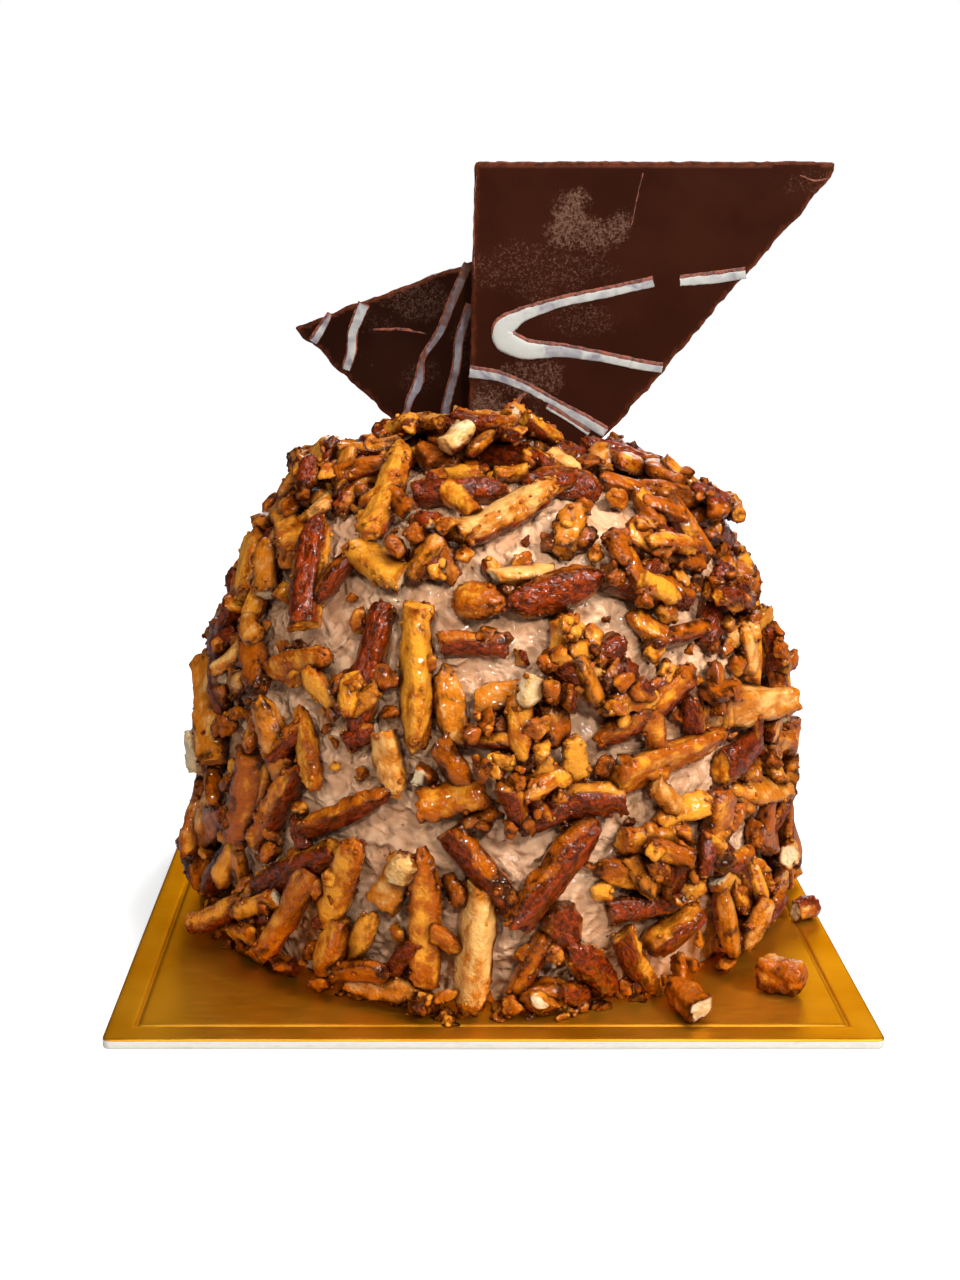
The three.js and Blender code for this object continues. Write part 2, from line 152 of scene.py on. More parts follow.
def smooth_noise(points: ndarray, size: float, seed: int) -> ndarray:
    """Gives smooth seeded noise in space.

    Args:
        points: Places, one in each row.
        size: Distance between lumps, in the unit of the places.
        seed: Picks the pattern.

    Returns:
        A value from -1 to 1 for each place.
    """
    grid = points / size
    cell = np.floor(grid).astype(np.int64)
    part = grid - cell
    part = part * part * (3 - 2 * part)
    total = np.zeros(len(points))
    for corner in product((0, 1), repeat=3):
        near = cell + np.array(corner)
        mixed = near @ np.array([374761393, 668265263, 1442695041]) + seed * 1274126177
        mixed = (mixed ^ (mixed >> 13)) & 0xFFFFFFFF
        mixed = (mixed * 1274126177) & 0xFFFFFFFF
        value = ((mixed ^ (mixed >> 16)) & 0xFFFF) / 32767.5 - 1
        total += value * np.prod(np.where(corner, part, 1 - part), axis=1)
    return total


def smooth_step(values: ndarray, start: float, end: float) -> ndarray:
    """Goes smoothly from 0 at the start to 1 at the end."""
    share = np.clip((values - start) / (end - start), 0, 1)
    return share * share * (3 - 2 * share)


@dataclass
class Surface:
    """A mesh in millimetres, with values for each point that its finish reads."""

    points: ndarray
    faces: list[tuple[int, ...]]
    marks: dict[str, ndarray] = field(default_factory=dict)
    slots: ndarray | None = None
    edges: Sequence[tuple[int, int]] = ()

    def to_object(self, name: str) -> Object:
        """Makes the Blender object, in metres and not yet in the scene.

        Args:
            name: The object's name.

        Returns:
            The object.
        """
        mesh = bpy.data.meshes.new(name)
        mesh.from_pydata((self.points * MM).tolist(), self.edges, self.faces)
        for mark, values in self.marks.items():
            values = np.asarray(values, np.float32)
            kind, slot = ("FLOAT", "value") if values.ndim == 1 else ("FLOAT_VECTOR", "vector")
            mesh.attributes.new(mark, kind, "POINT").data.foreach_set(slot, values.ravel())
        if self.slots is not None:
            mesh.polygons.foreach_set("material_index", np.asarray(self.slots, np.int32))
        mesh.shade_smooth()
        mesh.update()
        return bpy.data.objects.new(name, mesh)


def ring_faces(rings: int, count: int) -> Iterator[tuple[int, ...]]:
    """Joins rings of points with quads and closes both ends round the last two points.

    Args:
        rings: How many rings there are.
        count: How many points each has.

    Yields:
        The points of each face.
    """
    for i, j in product(range(rings - 1), range(count)):
        k = (j + 1) % count
        yield i * count + j, i * count + k, (i + 1) * count + k, (i + 1) * count + j
    last = (rings - 1) * count
    for j in range(count):
        k = (j + 1) % count
        yield rings * count, k, j
        yield rings * count + 1, last + j, last + k


def rounded(loop: ndarray) -> ndarray:
    """Rounds a closed line a little, towards the middle of each point's neighbours."""
    return 0.25 * np.roll(loop, 1, axis=0) + 0.5 * loop + 0.25 * np.roll(loop, -1, axis=0)


def show(piece: Object, slot: str, *nodes: str) -> None:
    """Puts a finished piece in the scene, on the cake's one body.

    Args:
        piece: The piece, with its place in its mesh.
        slot: The record's material slot that it belongs to; not used.
        nodes: The CAD nodes that it stands for.
    """
    if piece.name not in scene.collection.objects:
        scene.collection.objects.link(piece)
    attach(piece, "root")
    if nodes:
        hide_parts(*nodes)
    triangles = sum(len(p.vertices) - 2 for p in piece.data.polygons)
    log.info("%s: %d triangles", piece.name, triangles)


class ShapeRule:
    """A Geometry Nodes tree with named inputs, which turns a source object into a plain mesh."""

    SOCKETS = {float: "Float", int: "Int", Collection: "Collection", Material: "Material"}

    def __init__(self, name: str) -> None:
        """Starts an empty tree.

        Args:
            name: The tree's name.
        """
        self.tree = bpy.data.node_groups.new(name, "GeometryNodeTree")
        self.add = partial(add_node, self.tree)
        self.values: dict[str, object] = {}
        for way in ("INPUT", "OUTPUT"):
            self.tree.interface.new_socket("Geometry", in_out=way, socket_type="NodeSocketGeometry")
        self.start = self.add("NodeGroupInput")

    def given(self, name: str, value: object) -> NodeSocket:
        """Adds a named input with the value that it gets.

        Args:
            name: The input's name.
            value: Its value.

        Returns:
            The input's socket inside the tree.
        """
        kind = f"NodeSocket{self.SOCKETS[type(value)]}"
        socket = self.tree.interface.new_socket(name, in_out="INPUT", socket_type=kind)
        self.values[socket.identifier] = value
        return self.start.node.outputs[name]

    def end(self, geometry: NodeSocket, material: Material) -> None:
        """Ends the tree: instances made real, smooth faces and the finish.

        Args:
            geometry: What the tree has made.
            material: The finish of all of it.
        """
        real = self.add("GeometryNodeRealizeInstances", {}, {"Geometry": geometry})
        smooth = self.add("GeometryNodeSetShadeSmooth", {}, {"Geometry": real})
        links = {"Geometry": smooth, "Material": self.given("Finish", material)}
        self.add("NodeGroupOutput", {}, {"Geometry": self.add("GeometryNodeSetMaterial", None, links)})

    def run(self, source: Object, name: str) -> Object:
        """Runs the tree on a source and keeps the result as a plain mesh.

        Args:
            source: The object that the tree starts from, which is used up.
            name: The new object's name.

        Returns:
            The new object, in the scene.
        """
        scene.collection.objects.link(source)
        modifier = source.modifiers.new(self.tree.name, "NODES")
        modifier.node_group = self.tree
        for identifier, value in self.values.items():
            modifier[identifier] = value
        graph = bpy.context.evaluated_depsgraph_get()
        mesh = bpy.data.meshes.new_from_object(
            source.evaluated_get(graph), preserve_all_data_layers=True, depsgraph=graph
        )
        bpy.data.meshes.remove(source.data)
        mesh.name = name
        made = bpy.data.objects.new(name, mesh)
        scene.collection.objects.link(made)
        return made


# --- finishes


@dataclass(frozen=True)
class Finish:
    """A procedural material. Its subclasses hold its colours and add the nodes of its look."""

    name: str

    def inputs(self, add: AddNode, place: Inputs) -> Inputs:
        """Adds the nodes of the look.

        Args:
            add: Adds a node to the material's tree.
            place: The shaded point in the object's own frame, as the input Vector.

        Returns:
            The surface shader's inputs; a normal is given as bumps: rows of height, depth in mm and strength.
        """
        raise NotImplementedError

    def build(self) -> Material:
        """Makes the material: the nodes of its look, its stacked bumps, then the surface shader.

        Returns:
            The material.
        """
        material = bpy.data.materials.new(self.name)
        material.use_nodes = True
        material.node_tree.nodes.clear()
        add = partial(add_node, material.node_tree)
        inputs = self.inputs(add, {"Vector": add("ShaderNodeTexCoord", out="Object")})
        for name in ("Normal", "Coat Normal"):
            relief = None
            for height, depth, strength in inputs.get(name, ()):
                bump = {"Height": height, "Distance": depth * MM, "Strength": strength, "Normal": relief}
                relief = add("ShaderNodeBump", None, bump)
            inputs[name] = relief
        shader = add("ShaderNodeBsdfPrincipled", None, inputs)
        add("ShaderNodeOutputMaterial", {}, {"Surface": shader})
        return material


@dataclass(frozen=True)
class CaramelAlmond(Finish):
    """Roasted almond boiled in sugar until it browns.

    The caramel gives a smooth, glossy amber coat that darkens where it pools and on the rough edges, and painted shade
    darkens it in the crevices between pieces.
    The almond's own skin, on one side, is dark red-brown and wrinkled, and a fresh cut is pale.
    """

    flesh: str = "#f19c2a"
    amber: str = "#b05304"
    burnt_and_shade: str = "#2e0c00"
    skin: str = "#943004"
    skin_dark: str = "#471000"
    cut: str = "#f6dcae"
    sheen: str = "#e0812c"
    glaze: float = 0.0

    def inputs(self, add: AddNode, place: Inputs) -> Inputs:
        """Adds the nodes of the look, which read the marks skin, cut, crust, tone, raised and own."""
        skin, cut, crust, tone, raised = (
            add(MARK, {"attribute_name": name}, out="Fac") for name in ("skin", "cut", "crust", "tone", "raised")
        )
        seed = add(MATH, TIMES, (tone, 40.0))
        own = add(MARK, {"attribute_name": "own"}, out="Vector")
        place = {**place, "W": seed}
        pools = add(NOISE, OWN_PATTERN, {**place, "Scale": per_mm(3.4), "Detail": 2.0})  # 3 mm pools
        specks = add(NOISE, OWN_PATTERN, {**place, "Scale": per_mm(0.7), "Detail": 3.0})  # sugar grain
        stretched = add(VECTOR_MATH, TIMES, (own, (0.25, 1.0, 1.0)))
        grain = {"Vector": stretched, "W": seed, "Scale": 0.7, "Detail": 2.0}
        streaks = add(NOISE, OWN_PATTERN, grain)  # the nut's grain, 1.5 mm across and 6 mm long

        # The coat is golden on raised bumps and amber to dark brown on low ones; the ambient-occlusion node adds
        # painted shade, darker in the crevices between pieces.
        painted_shade_ao = add("ShaderNodeAmbientOcclusion", {"samples": 2}, {"Distance": 3.2 * MM}, "AO")
        parts = ((raised, -1.1), (specks, 0.35), (streaks, 0.6), (tone, 0.5), (crust, 0.3), (painted_shade_ao, -0.8))
        depth = pools
        for part, share in parts:
            depth = add(MATH, TIMES_PLUS, (part, share, depth))
        depth = add(MATH, PLUS, (depth, self.glaze))
        amber = add(RANGE, SMOOTH, (depth, -0.34, 0.08))
        burnt_and_shade = add(RANGE, SMOOTH, (depth, 0.1, 0.5))
        coat = add(MIX, COLOURS, {0: amber, 6: self.flesh, 7: self.amber}, 2)
        coat = add(MIX, COLOURS, {0: burnt_and_shade, 6: coat, 7: self.burnt_and_shade}, 2)
        bare = add(RANGE, SMOOTH, {0: add(MATH, {"operation": "FRACT"}, (seed,)), 1: 0.7, 2: 0.75, 4: 0.9})
        coat = add(MIX, COLOURS, {0: add(MATH, TIMES, (cut, bare)), 6: coat, 7: self.cut}, 2)

        drawn = add(VECTOR_MATH, TIMES, (own, (0.55, 1.0, 1.0)))
        folded = {"Vector": drawn, "W": seed, "Scale": 1.0, "Detail": 3.0, "Distortion": 0.8}
        folds = add(NOISE, OWN_PATTERN, folded)  # folds of the skin, about 1 mm apart, along the nut
        skin_shade = add(RANGE, SMOOTH, (folds, 0.36, 0.66))
        skin_shade = add(MIX, COLOURS, {0: skin_shade, 6: self.skin_dark, 7: self.skin}, 2)
        colour = add(MIX, COLOURS, {0: skin, 6: coat, 7: skin_shade}, 2)
        # Painted shade: the colour goes to the burnt brown in the crevices that the ambient-occlusion node finds.
        gap = add(RANGE, SMOOTH, (painted_shade_ao, 0.3, 0.85, 0.95, 0.0))
        colour = add(MIX, COLOURS, {0: gap, 6: colour, 7: self.burnt_and_shade}, 2)

        rough = add(RANGE, {}, {0: crust, 3: 0.6, 4: 1.0})
        skin_folds = add(MATH, TIMES, (folds, skin))
        # The sugar runs smooth over the nut, so the coat only follows the larger bumps, as round beads.
        beads = add(NOISE, OWN_PATTERN, {**place, "Scale": per_mm(1.15), "Detail": 0.0})
        return {
            "Base Color": colour, "Roughness": 0.34, "Specular IOR Level": 0.55, "Specular Tint": self.sheen,
            "Normal": ((pools, 1.0, 0.8), (specks, 0.6, rough), (skin_folds, 0.8, 1.0)), "Coat Weight": 0.6,
            "Coat Roughness": 0.06, "Coat IOR": 1.45,
            "Coat Normal": ((pools, 0.5, 0.5), (beads, 0.75, rough), (skin_folds, 0.4, 0.7)),
        }


@dataclass(frozen=True)
class WhippedCoffeeCream(Finish):
    """Whipped butter cream with coffee: pale beige-brown, a soft sheen, small pits where air escaped, with painted
    shade in the pits and in the crevices round the almonds.
    """

    name: str = "whipped_coffee_cream"
    pale: str = "#f4c298"
    deep: str = "#dca478"
    painted_shade_brown: str = "#6b3a1c"

    def inputs(self, add: AddNode, place: Inputs) -> Inputs:
        """Adds the nodes of the look."""
        drag = {**place, "Scale": per_mm(6.0), "Detail": 1.0, "Distortion": 1.6}
        streaks = add(NOISE, None, drag)  # spatula marks, some millimetres wide
        grain = add(NOISE, {}, {**place, "Scale": per_mm(0.8), "Detail": 3.0})  # air, under 1 mm
        bubbles = add(CELLS, {}, {**place, "Scale": per_mm(1.7)})
        holes = add(RANGE, SMOOTH, (bubbles, 0.1, 0.24, 1.0, 0.0))
        few = add(RANGE, SMOOTH, (bubbles.node.outputs["Color"], 0.72, 0.76))
        holes = add(MATH, TIMES, (holes, few))
        shade = add(RANGE, SMOOTH, (streaks, 0.35, 0.65))
        colour = add(MIX, COLOURS, {0: shade, 6: self.deep, 7: self.pale}, 2)
        # Painted shade in the air pits: their colour goes half way to the dark brown.
        colour = add(MIX, COLOURS, {0: add(MATH, TIMES, (holes, 0.5)), 6: colour, 7: self.painted_shade_brown}, 2)
        # Painted shade: the ambient-occlusion node darkens the cream in the crevices round the almonds.
        painted_shade_ao = add("ShaderNodeAmbientOcclusion", {"samples": 2}, {"Distance": 4.0 * MM}, "AO")
        gap = add(RANGE, SMOOTH, (painted_shade_ao, 0.0, 0.5, 0.8, 0.0))
        colour = add(MIX, COLOURS, {0: gap, 6: colour, 7: self.painted_shade_brown}, 2)
        flat = add(MATH, LESS, (1.0, holes))
        turned = add("ShaderNodeMapping", {}, {**place, "Rotation": (0.0, 0.6, 0.0), "Scale": (0.3, 1.0, 1.0)})
        drags = add(NOISE, {}, {"Vector": turned, "Scale": per_mm(2.0), "Detail": 1.0, "Distortion": 0.5})
        return {
            "Base Color": colour, "Roughness": add(RANGE, {}, (grain, 0.3, 0.7, 0.2, 0.34)),
            "Normal": ((streaks, 3.0, 0.8), (drags, 1.0, 0.35), (grain, 0.15, 0.3), (flat, 0.4, 0.8)),
            "Specular IOR Level": 0.4, "Specular Tint": "#f2c79c", "Coat Weight": 0.35, "Coat Roughness": 0.1,
        }


@dataclass(frozen=True)
class DarkChocolate(Finish):
    """Dark chocolate set on a flat sheet: an even satin face, dusty bloom in patches, scuffed edges."""

    name: str = "dark_chocolate"
    face: str = "#280f08"
    light: str = "#32150b"
    dust: str = "#80604e"
    edge: str = "#7a3a22"

    def inputs(self, add: AddNode, place: Inputs) -> Inputs:
        """Adds the nodes of the look, which read the marks bloom and edge."""
        bloom, edge = (add(MARK, {"attribute_name": name}, out="Fac") for name in ("bloom", "edge"))
        clouds = add(NOISE, {}, {**place, "Scale": per_mm(16.0), "Detail": 3.0})  # slow change of shade
        # Dust of cocoa butter is finer than a tenth of a millimetre; a third of one shows in the render.
        dust = add(NOISE, {}, {**place, "Scale": per_mm(0.34), "Detail": 4.0, "Roughness": 0.7})
        specks = add(CELLS, {}, {**place, "Scale": per_mm(2.4)})
        spots = add(RANGE, SMOOTH, (specks, 0.03, 0.09, 1.0, 0.0))
        rare = add(RANGE, SMOOTH, (specks.node.outputs["Color"], 0.62, 0.66))
        spots = add(MATH, TIMES, (spots, rare))
        cracks = add(CELLS, {}, {**place, "Scale": per_mm(0.75), "Randomness": 1.0})
        net = add(RANGE, SMOOTH, (cracks, 0.35, 0.65, -0.04, 0.07))  # the bloom forms a fine net
        veil = add(MATH, PLUS, (add(MATH, TIMES, (bloom, 0.3)), add(MATH, PLUS, (dust, net))))
        veil = add(RANGE, SMOOTH, {0: veil, 1: 0.6, 2: 1.05, 4: 0.8})
        veil = add(MATH, TIMES, (veil, add(RANGE, {}, {0: bloom, 2: 0.35})))
        veil = add(MATH, MOST, (veil, add(MATH, TIMES, (spots, 0.45))))
        shade = add(RANGE, SMOOTH, (clouds, 0.3, 0.7))
        colour = add(MIX, COLOURS, {0: shade, 6: self.face, 7: self.light}, 2)
        colour = add(MIX, COLOURS, {0: veil, 6: colour, 7: self.dust}, 2)
        rough = add(NOISE, {}, {**place, "Scale": per_mm(1.4), "Detail": 3.0})
        scuffs = add(RANGE, SMOOTH, (rough, 0.3, 0.7, 0.15, 0.9))
        colour = add(MIX, COLOURS, {0: add(MATH, TIMES, (edge, scuffs)), 6: colour, 7: self.edge}, 2)
        worn = add(RANGE, {}, {0: edge, 3: 0.06, 4: 0.6})
        return {
            "Base Color": colour, "Roughness": add(RANGE, {}, {0: veil, 3: 0.36, 4: 0.6}),
            "Normal": ((clouds, 1.2, 0.12), (rough, 0.25, worn)), "Specular IOR Level": 0.35,
            "Specular Tint": "#a56a50",
        }


@dataclass(frozen=True)
class WhiteChocolateLine(Finish):
    """White chocolate drizzled on the sheet before the dark was poured: thin, milky, a little cool."""

    name: str = "white_chocolate_line"
    milk: str = "#bab9b1"
    thin: str = "#7d7880"
    under: str = "#63402f"

    def inputs(self, add: AddNode, place: Inputs) -> Inputs:
        """Adds the nodes of the look, which read the mark milk, the thickness of the line."""
        milk = add(MARK, {"attribute_name": "milk"}, out="Fac")
        flow = {**place, "Scale": per_mm(3.0), "Detail": 3.0, "Distortion": 0.6}
        flow = add(NOISE, None, flow)
        share = add(MATH, PLUS, (add(RANGE, {}, {0: flow, 1: 0.3, 2: 0.7, 4: 0.75}), milk))
        share = add(RANGE, SMOOTH, (share, 0.1, 1.0))
        colour = add(MIX, COLOURS, {0: share, 6: self.thin, 7: self.milk}, 2)
        shown = add(MATH, PLUS, (add(RANGE, {}, (flow, 0.3, 0.7, -0.25, 0.25)), milk))
        shown = add(RANGE, SMOOTH, (shown, -0.6, -0.1))  # where the line is rubbed off, the dark shows
        return {
            "Base Color": add(MIX, COLOURS, {0: shown, 6: self.under, 7: colour}, 2),
            "Roughness": add(RANGE, {}, (flow, 0.3, 0.7, 0.25, 0.42)), "Normal": ((flow, 0.3, 0.4),),
        }


@dataclass(frozen=True)
class ScuffedChocolate(Finish):
    """Dark chocolate rubbed or chipped, which leaves a dull, redder brown."""

    name: str = "scuffed_chocolate"
    rubbed: str = "#8a452c"
    deep: str = "#471c0f"

    def inputs(self, add: AddNode, place: Inputs) -> Inputs:
        """Adds the nodes of the look."""
        rough = add(NOISE, {}, {**place, "Scale": per_mm(0.9), "Detail": 4.0})
        share = add(RANGE, SMOOTH, (rough, 0.35, 0.62))
        return {
            "Base Color": add(MIX, COLOURS, {0: share, 6: self.deep, 7: self.rubbed}, 2),
            "Roughness": add(RANGE, {}, (rough, 0.3, 0.7, 0.45, 0.65)), "Normal": ((rough, 0.25, 0.6),),
        }


@dataclass(frozen=True)
class GoldFoil(Finish):
    """Gold foil rolled on card: a warm satin metal, faintly rippled, with fine rub marks."""

    name: str = "gold_foil"
    gold: str = "#f2af34"
    deep: str = "#df9718"

    def inputs(self, add: AddNode, place: Inputs) -> Inputs:
        """Adds the nodes of the look."""
        ripple = add(NOISE, {}, {**place, "Scale": per_mm(22.0), "Detail": 2.0})  # slow waves of the foil
        across = add("ShaderNodeMapping", {}, {**place, "Scale": (1.0, 9.0, 1.0)})
        rub = add(NOISE, {}, {"Vector": across, "Scale": per_mm(4.0), "Detail": 4.0})  # rub marks
        fine = add(NOISE, {}, {**place, "Scale": per_mm(0.6), "Detail": 2.0})
        shade = add(RANGE, SMOOTH, (ripple, 0.3, 0.7))
        return {
            "Base Color": add(MIX, COLOURS, {0: shade, 6: self.deep, 7: self.gold}, 2), "Metallic": 1.0,
            "Specular Tint": "#f2bc66", "Roughness": add(RANGE, {}, (rub, 0.3, 0.7, 0.44, 0.54)),
            "Normal": ((ripple, 2.0, 0.06), (rub, 0.2, 0.08), (fine, 0.04, 0.12)),
        }


@dataclass(frozen=True)
class WhiteCard(Finish):
    """White greyboard seen at its cut edge: matt, with the faint lines of its layers."""

    name: str = "white_card"
    card: str = "#e6dfd5"
    line: str = "#cfc6b9"

    def inputs(self, add: AddNode, place: Inputs) -> Inputs:
        """Adds the nodes of the look."""
        level = add("ShaderNodeMapping", {}, {**place, "Scale": (0.05, 0.05, 1.0)})
        layers = add(NOISE, {}, {"Vector": level, "Scale": per_mm(0.5), "Detail": 3.0})  # half-mm plies
        fibre = add(NOISE, {}, {**place, "Scale": per_mm(1.2), "Detail": 4.0})
        layers = add(RANGE, SMOOTH, (layers, 0.45, 0.75))
        fibres = add(RANGE, SMOOTH, (fibre, 0.3, 0.7))
        share = add(MATH, TIMES, (layers, fibres))
        return {
            "Base Color": add(MIX, COLOURS, {0: share, 6: self.card, 7: self.line}, 2), "Roughness": 0.8,
            "Normal": ((fibre, 0.15, 0.4),),
        }


@dataclass(frozen=True)
class StudioPaper(Finish):
    """Smooth white backdrop paper that glows white for the camera, a painted light, with less glow near the board so
    that the soft shadows there show.
    """

    name: str = "studio_paper"
    white: str = "#a4a4a2"
    near: float = 0.6
    far: float = 1.0

    def inputs(self, add: AddNode, place: Inputs) -> Inputs:
        """Adds the nodes of the look."""
        # Painted light: the paper glows for camera rays only, less within 71 to 84 mm of the middle.
        away = add(VECTOR_MATH, {"operation": "LENGTH"}, (place["Vector"],), "Value")
        glow = add(RANGE, SMOOTH, (away, 71 * MM, 84 * MM, self.near, self.far))
        glow = add(MATH, TIMES, (glow, add("ShaderNodeLightPath", out="Is Camera Ray")))
        return {
            "Base Color": self.white, "Roughness": 0.9, "Specular IOR Level": 0.1, "Emission Color": "#ffffff",
            "Emission Strength": glow,
        }


# --- the cream dome


@dataclass(frozen=True)
class Place:
    """A point of the cream, with the directions level to the right, up the slope and straight out."""

    point: ndarray
    level: ndarray
    upward: ndarray

    @property
    def out(self) -> ndarray:
        """The direction straight out of the cream."""
        return np.cross(self.level, self.upward)


@dataclass(frozen=True)
class DomeForm:
    """The dome's form. A place on it has a turn (degrees, 0 shown side, + right) and a way down (mm)."""

    centre_x: float = 2.0
    radius: float = 58.0
    height: float = 95.0
    squareness: float = 3.2
    steps: int = 600

    @cached_property
    def line(self) -> ndarray:
        """The side line from the top down: rows of way down, radius, height and area so far."""
        rows = [(0.0, 0.0, self.height, 0.0)]
        for i in range(1, self.steps + 1):
            angle = (pi / 2) * (i / self.steps)
            radius = self.radius * math.sin(angle) ** (2 / self.squareness)
            height = self.height * max(math.cos(angle), 0.0) ** (2 / self.squareness)
            down, last_radius, last_height, area = rows[-1]
            step = hypot(radius - last_radius, height - last_height)
            rows.append((down + step, radius, height, area + pi * (radius + last_radius) * step))
        return np.array(rows)

    def index(self, column: int, value: float) -> int:
        """The row of the side line at which a column has grown to a value."""
        return int(min(np.searchsorted(self.line[:, column], value, side="left"), self.steps))

    def place(self, turn: float, down: float) -> Place:
        """Finds a place on the cream.

        Args:
            turn: Degrees round the dome.
            down: Millimetres down from its top.

        Returns:
            The place.
        """
        here = self.index(0, down)
        upper, lower = self.line[max(here - 4, 0)], self.line[min(here + 4, self.steps)]
        slope = hypot(upper[1] - lower[1], upper[2] - lower[2])
        inward, rise = (upper[1] - lower[1]) / slope, (upper[2] - lower[2]) / slope
        sin, cos = math.sin(radians(turn)), math.cos(radians(turn))
        _, radius, height, _ = self.line[here]
        point = np.array([sin * radius + self.centre_x, -cos * radius, height + BOARD_TOP])
        return Place(point, np.array([cos, sin, 0.0]), np.array([sin * inward, -cos * inward, rise]))


DOME = DomeForm()

# Places where the cream shows: turn, way down and radius.
BARE_CREAM = (
    (-51, 62, 4.6), (-35, 61, 4.8), (-11, 53, 7), (9, 46, 4.4), (21, 60, 7.6), (33, 56, 4.4), (47, 70, 3.8),
    (32, 37, 4.5), (35, 88, 4), (21, 95, 4), (-16, 94, 4.3), (-33, 91, 4), (3, 99, 5), (15, 107, 4), (19, 116, 4.8),
    (-10, 105, 2.5), (50, 105, 3.5), (-6, 67, 4.7), (-15, 82, 3.6), (3, 118, 3.6), (100, 62, 8), (140, 88, 9),
    (178, 58, 9), (-150, 92, 8), (-115, 70, 8), (-135, 45, 7), (125, 40, 6), (-172, 104, 7), (105, 104, 6),
)


def on_bare_cream(spot: ndarray, room: float) -> bool:
    """Tells whether a point of the dome lies on bare cream, each place taken wider by some room."""
    return any(norm(DOME.place(turn, down).point - spot) < radius + room for turn, down, radius in BARE_CREAM)


# --- almonds, laid out


class Look(Enum):
    """The side that a piece of almond shows."""

    GOLDEN = "golden"
    SKIN = "skin"
    HALF = "half"
    PALE = "pale"
    FRESH = "fresh"


ROLL = {Look.GOLDEN: 180.0, Look.PALE: 165.0, Look.HALF: 60.0, Look.SKIN: 0.0, Look.FRESH: 180.0}
ROLL_SPREAD = 30.0

# Slivers listed one by one on the shown side, the lowest layer first: turn, way down, lean from level
# (anticlockwise), length, width, look where it isn't golden, and tip where an end stands out.
SHOWN_SLIVERS = (
    (-41, 9, 40, 9, 5.5, "pale"), (-65, 15, 120, 14, 4.5), (46, 8, 125, 13, 4.5), (43, 16, 55, 13, 5.5),
    (-36, 20, 155, 12, 6), (-64, 22, 150, 14, 5), (-88, 22, 20, 13, 4.5, "golden", 25), (77, 26, 90, 14, 5.5),
    (-76, 30, 75, 13, 5.5, "golden", 15), (-14, 31, 10, 18, 6, "half"), (24, 29, 155, 15, 6.5, "half"),
    (-54, 34, 90, 12, 5.5, "skin"), (50, 32, 140, 11, 4.5), (-39, 33, 110, 26, 6.5),
    (-84, 39, 75, 14, 6, "golden", 15), (2, 37, 35, 23, 7, "pale"), (65, 38, 140, 19, 7, "golden", -12),
    (47, 40, 80, 10, 5), (19, 42, 130, 8, 6), (-18, 45, 110, 12, 7, "skin"), (-63, 48, 160, 24, 6.5, "golden", -8),
    (58, 45, 95, 14, 5.5), (38, 48, 160, 23, 6.5), (-29, 50, 160, 12, 7), (-1, 51, 125, 10, 4.5, "half"),
    (-45, 53, 110, 23, 6.5, "skin"), (33, 55, 160, 19, 6.5, "half"), (11, 54, 15, 19, 7, "skin"), (-5, 56, 170, 9, 7),
    (-66, 60, 100, 14, 5.5), (-78, 61, 85, 14, 5.5), (53, 60, 50, 18, 5, "skin", 10), (65, 61, 160, 16, 6.5, "skin"),
    (-6, 63, 0, 12, 5, "half"), (39, 64, 5, 16, 5, "half"), (-78, 70, 50, 14, 5.5, "half"), (-45, 70, 20, 18, 5.5),
    (-17, 69, 95, 26, 6.5), (-27, 70, 85, 28, 6.5, "skin"), (63, 71, 75, 14, 6), (74, 72, 100, 14, 6),
    (-56, 73, 135, 12, 5.5), (0, 72, 10, 10, 6, "pale"), (-10, 74, 105, 15, 5.5, "pale"),
    (28, 76, 25, 24, 7.5, "half"), (-76, 81, 100, 14, 6.5, "skin"), (55, 80, -10, 24, 7, "pale", 22),
    (12, 63, 80, 10, 6.5), (20, 65, 15, 9, 6, "skin"), (17, 71, 130, 9, 5.5), (23, 71, 70, 9, 5.5, "half"),
    (3, 79, 30, 11, 7, "skin"), (8, 77, 100, 9, 6), (12, 83, 110, 9, 5), (32, 85, 10, 27, 7), (-39, 85, 110, 16, 5),
    (-47, 85, 110, 17, 6, "pale"), (-21, 85, 105, 12, 6, "pale"), (53, 89, 10, 14, 6.5, "skin"), (-9, 90, 15, 12, 7),
    (14, 91, 0, 15, 6.5, "half"), (72, 92, -20, 14, 6, "golden", 25), (-29, 95, 30, 22, 5.5, "half"),
    (34, 96, 5, 13, 5.5), (43, 98, 100, 10, 7), (-56, 99, 75, 20, 7), (59, 98, -15, 22, 6.5, "pale", 15),
    (-46, 98, 55, 24, 5.5, "half"), (28, 100, 0, 14, 5.5), (-4, 103, 130, 18, 6.5, "half"),
    (9, 104, 50, 24, 7, "half"), (40, 105, 45, 13, 5, "pale"), (-19, 107, 65, 11, 7, "pale"), (25, 107, 160, 18, 5.5),
    (-41, 109, 30, 26, 6, "skin"), (-30, 109, 70, 21, 7), (65, 110, 155, 15, 6.5), (-14, 112, 90, 27, 6.5),
    (27, 113, 0, 15, 5.5, "skin"), (11, 115, 100, 10, 7, "skin"), (49, 115, 140, 14, 6),
    (33, 119, 30, 13, 7.5, "skin"), (-26, 119, 60, 15, 5), (5, 121, 65, 13, 5, "half"), (67, 121, 145, 15, 6),
    (-5, 118, 85, 25, 7.5, "pale", -12), (16, 123, 130, 16, 6, "skin"), (24, 123, 115, 13, 5, "half"),
    (55, 124, 10, 24, 8, "half"), (7, 127, 0, 10, 6.5), (-21, 127, 0, 15, 6, "pale"),
    (80, 121, 110, 15, 6, "pale", -12), (-54, 126, 5, 16, 6), (-94, 125, 20, 13, 6.5, "skin"),
)

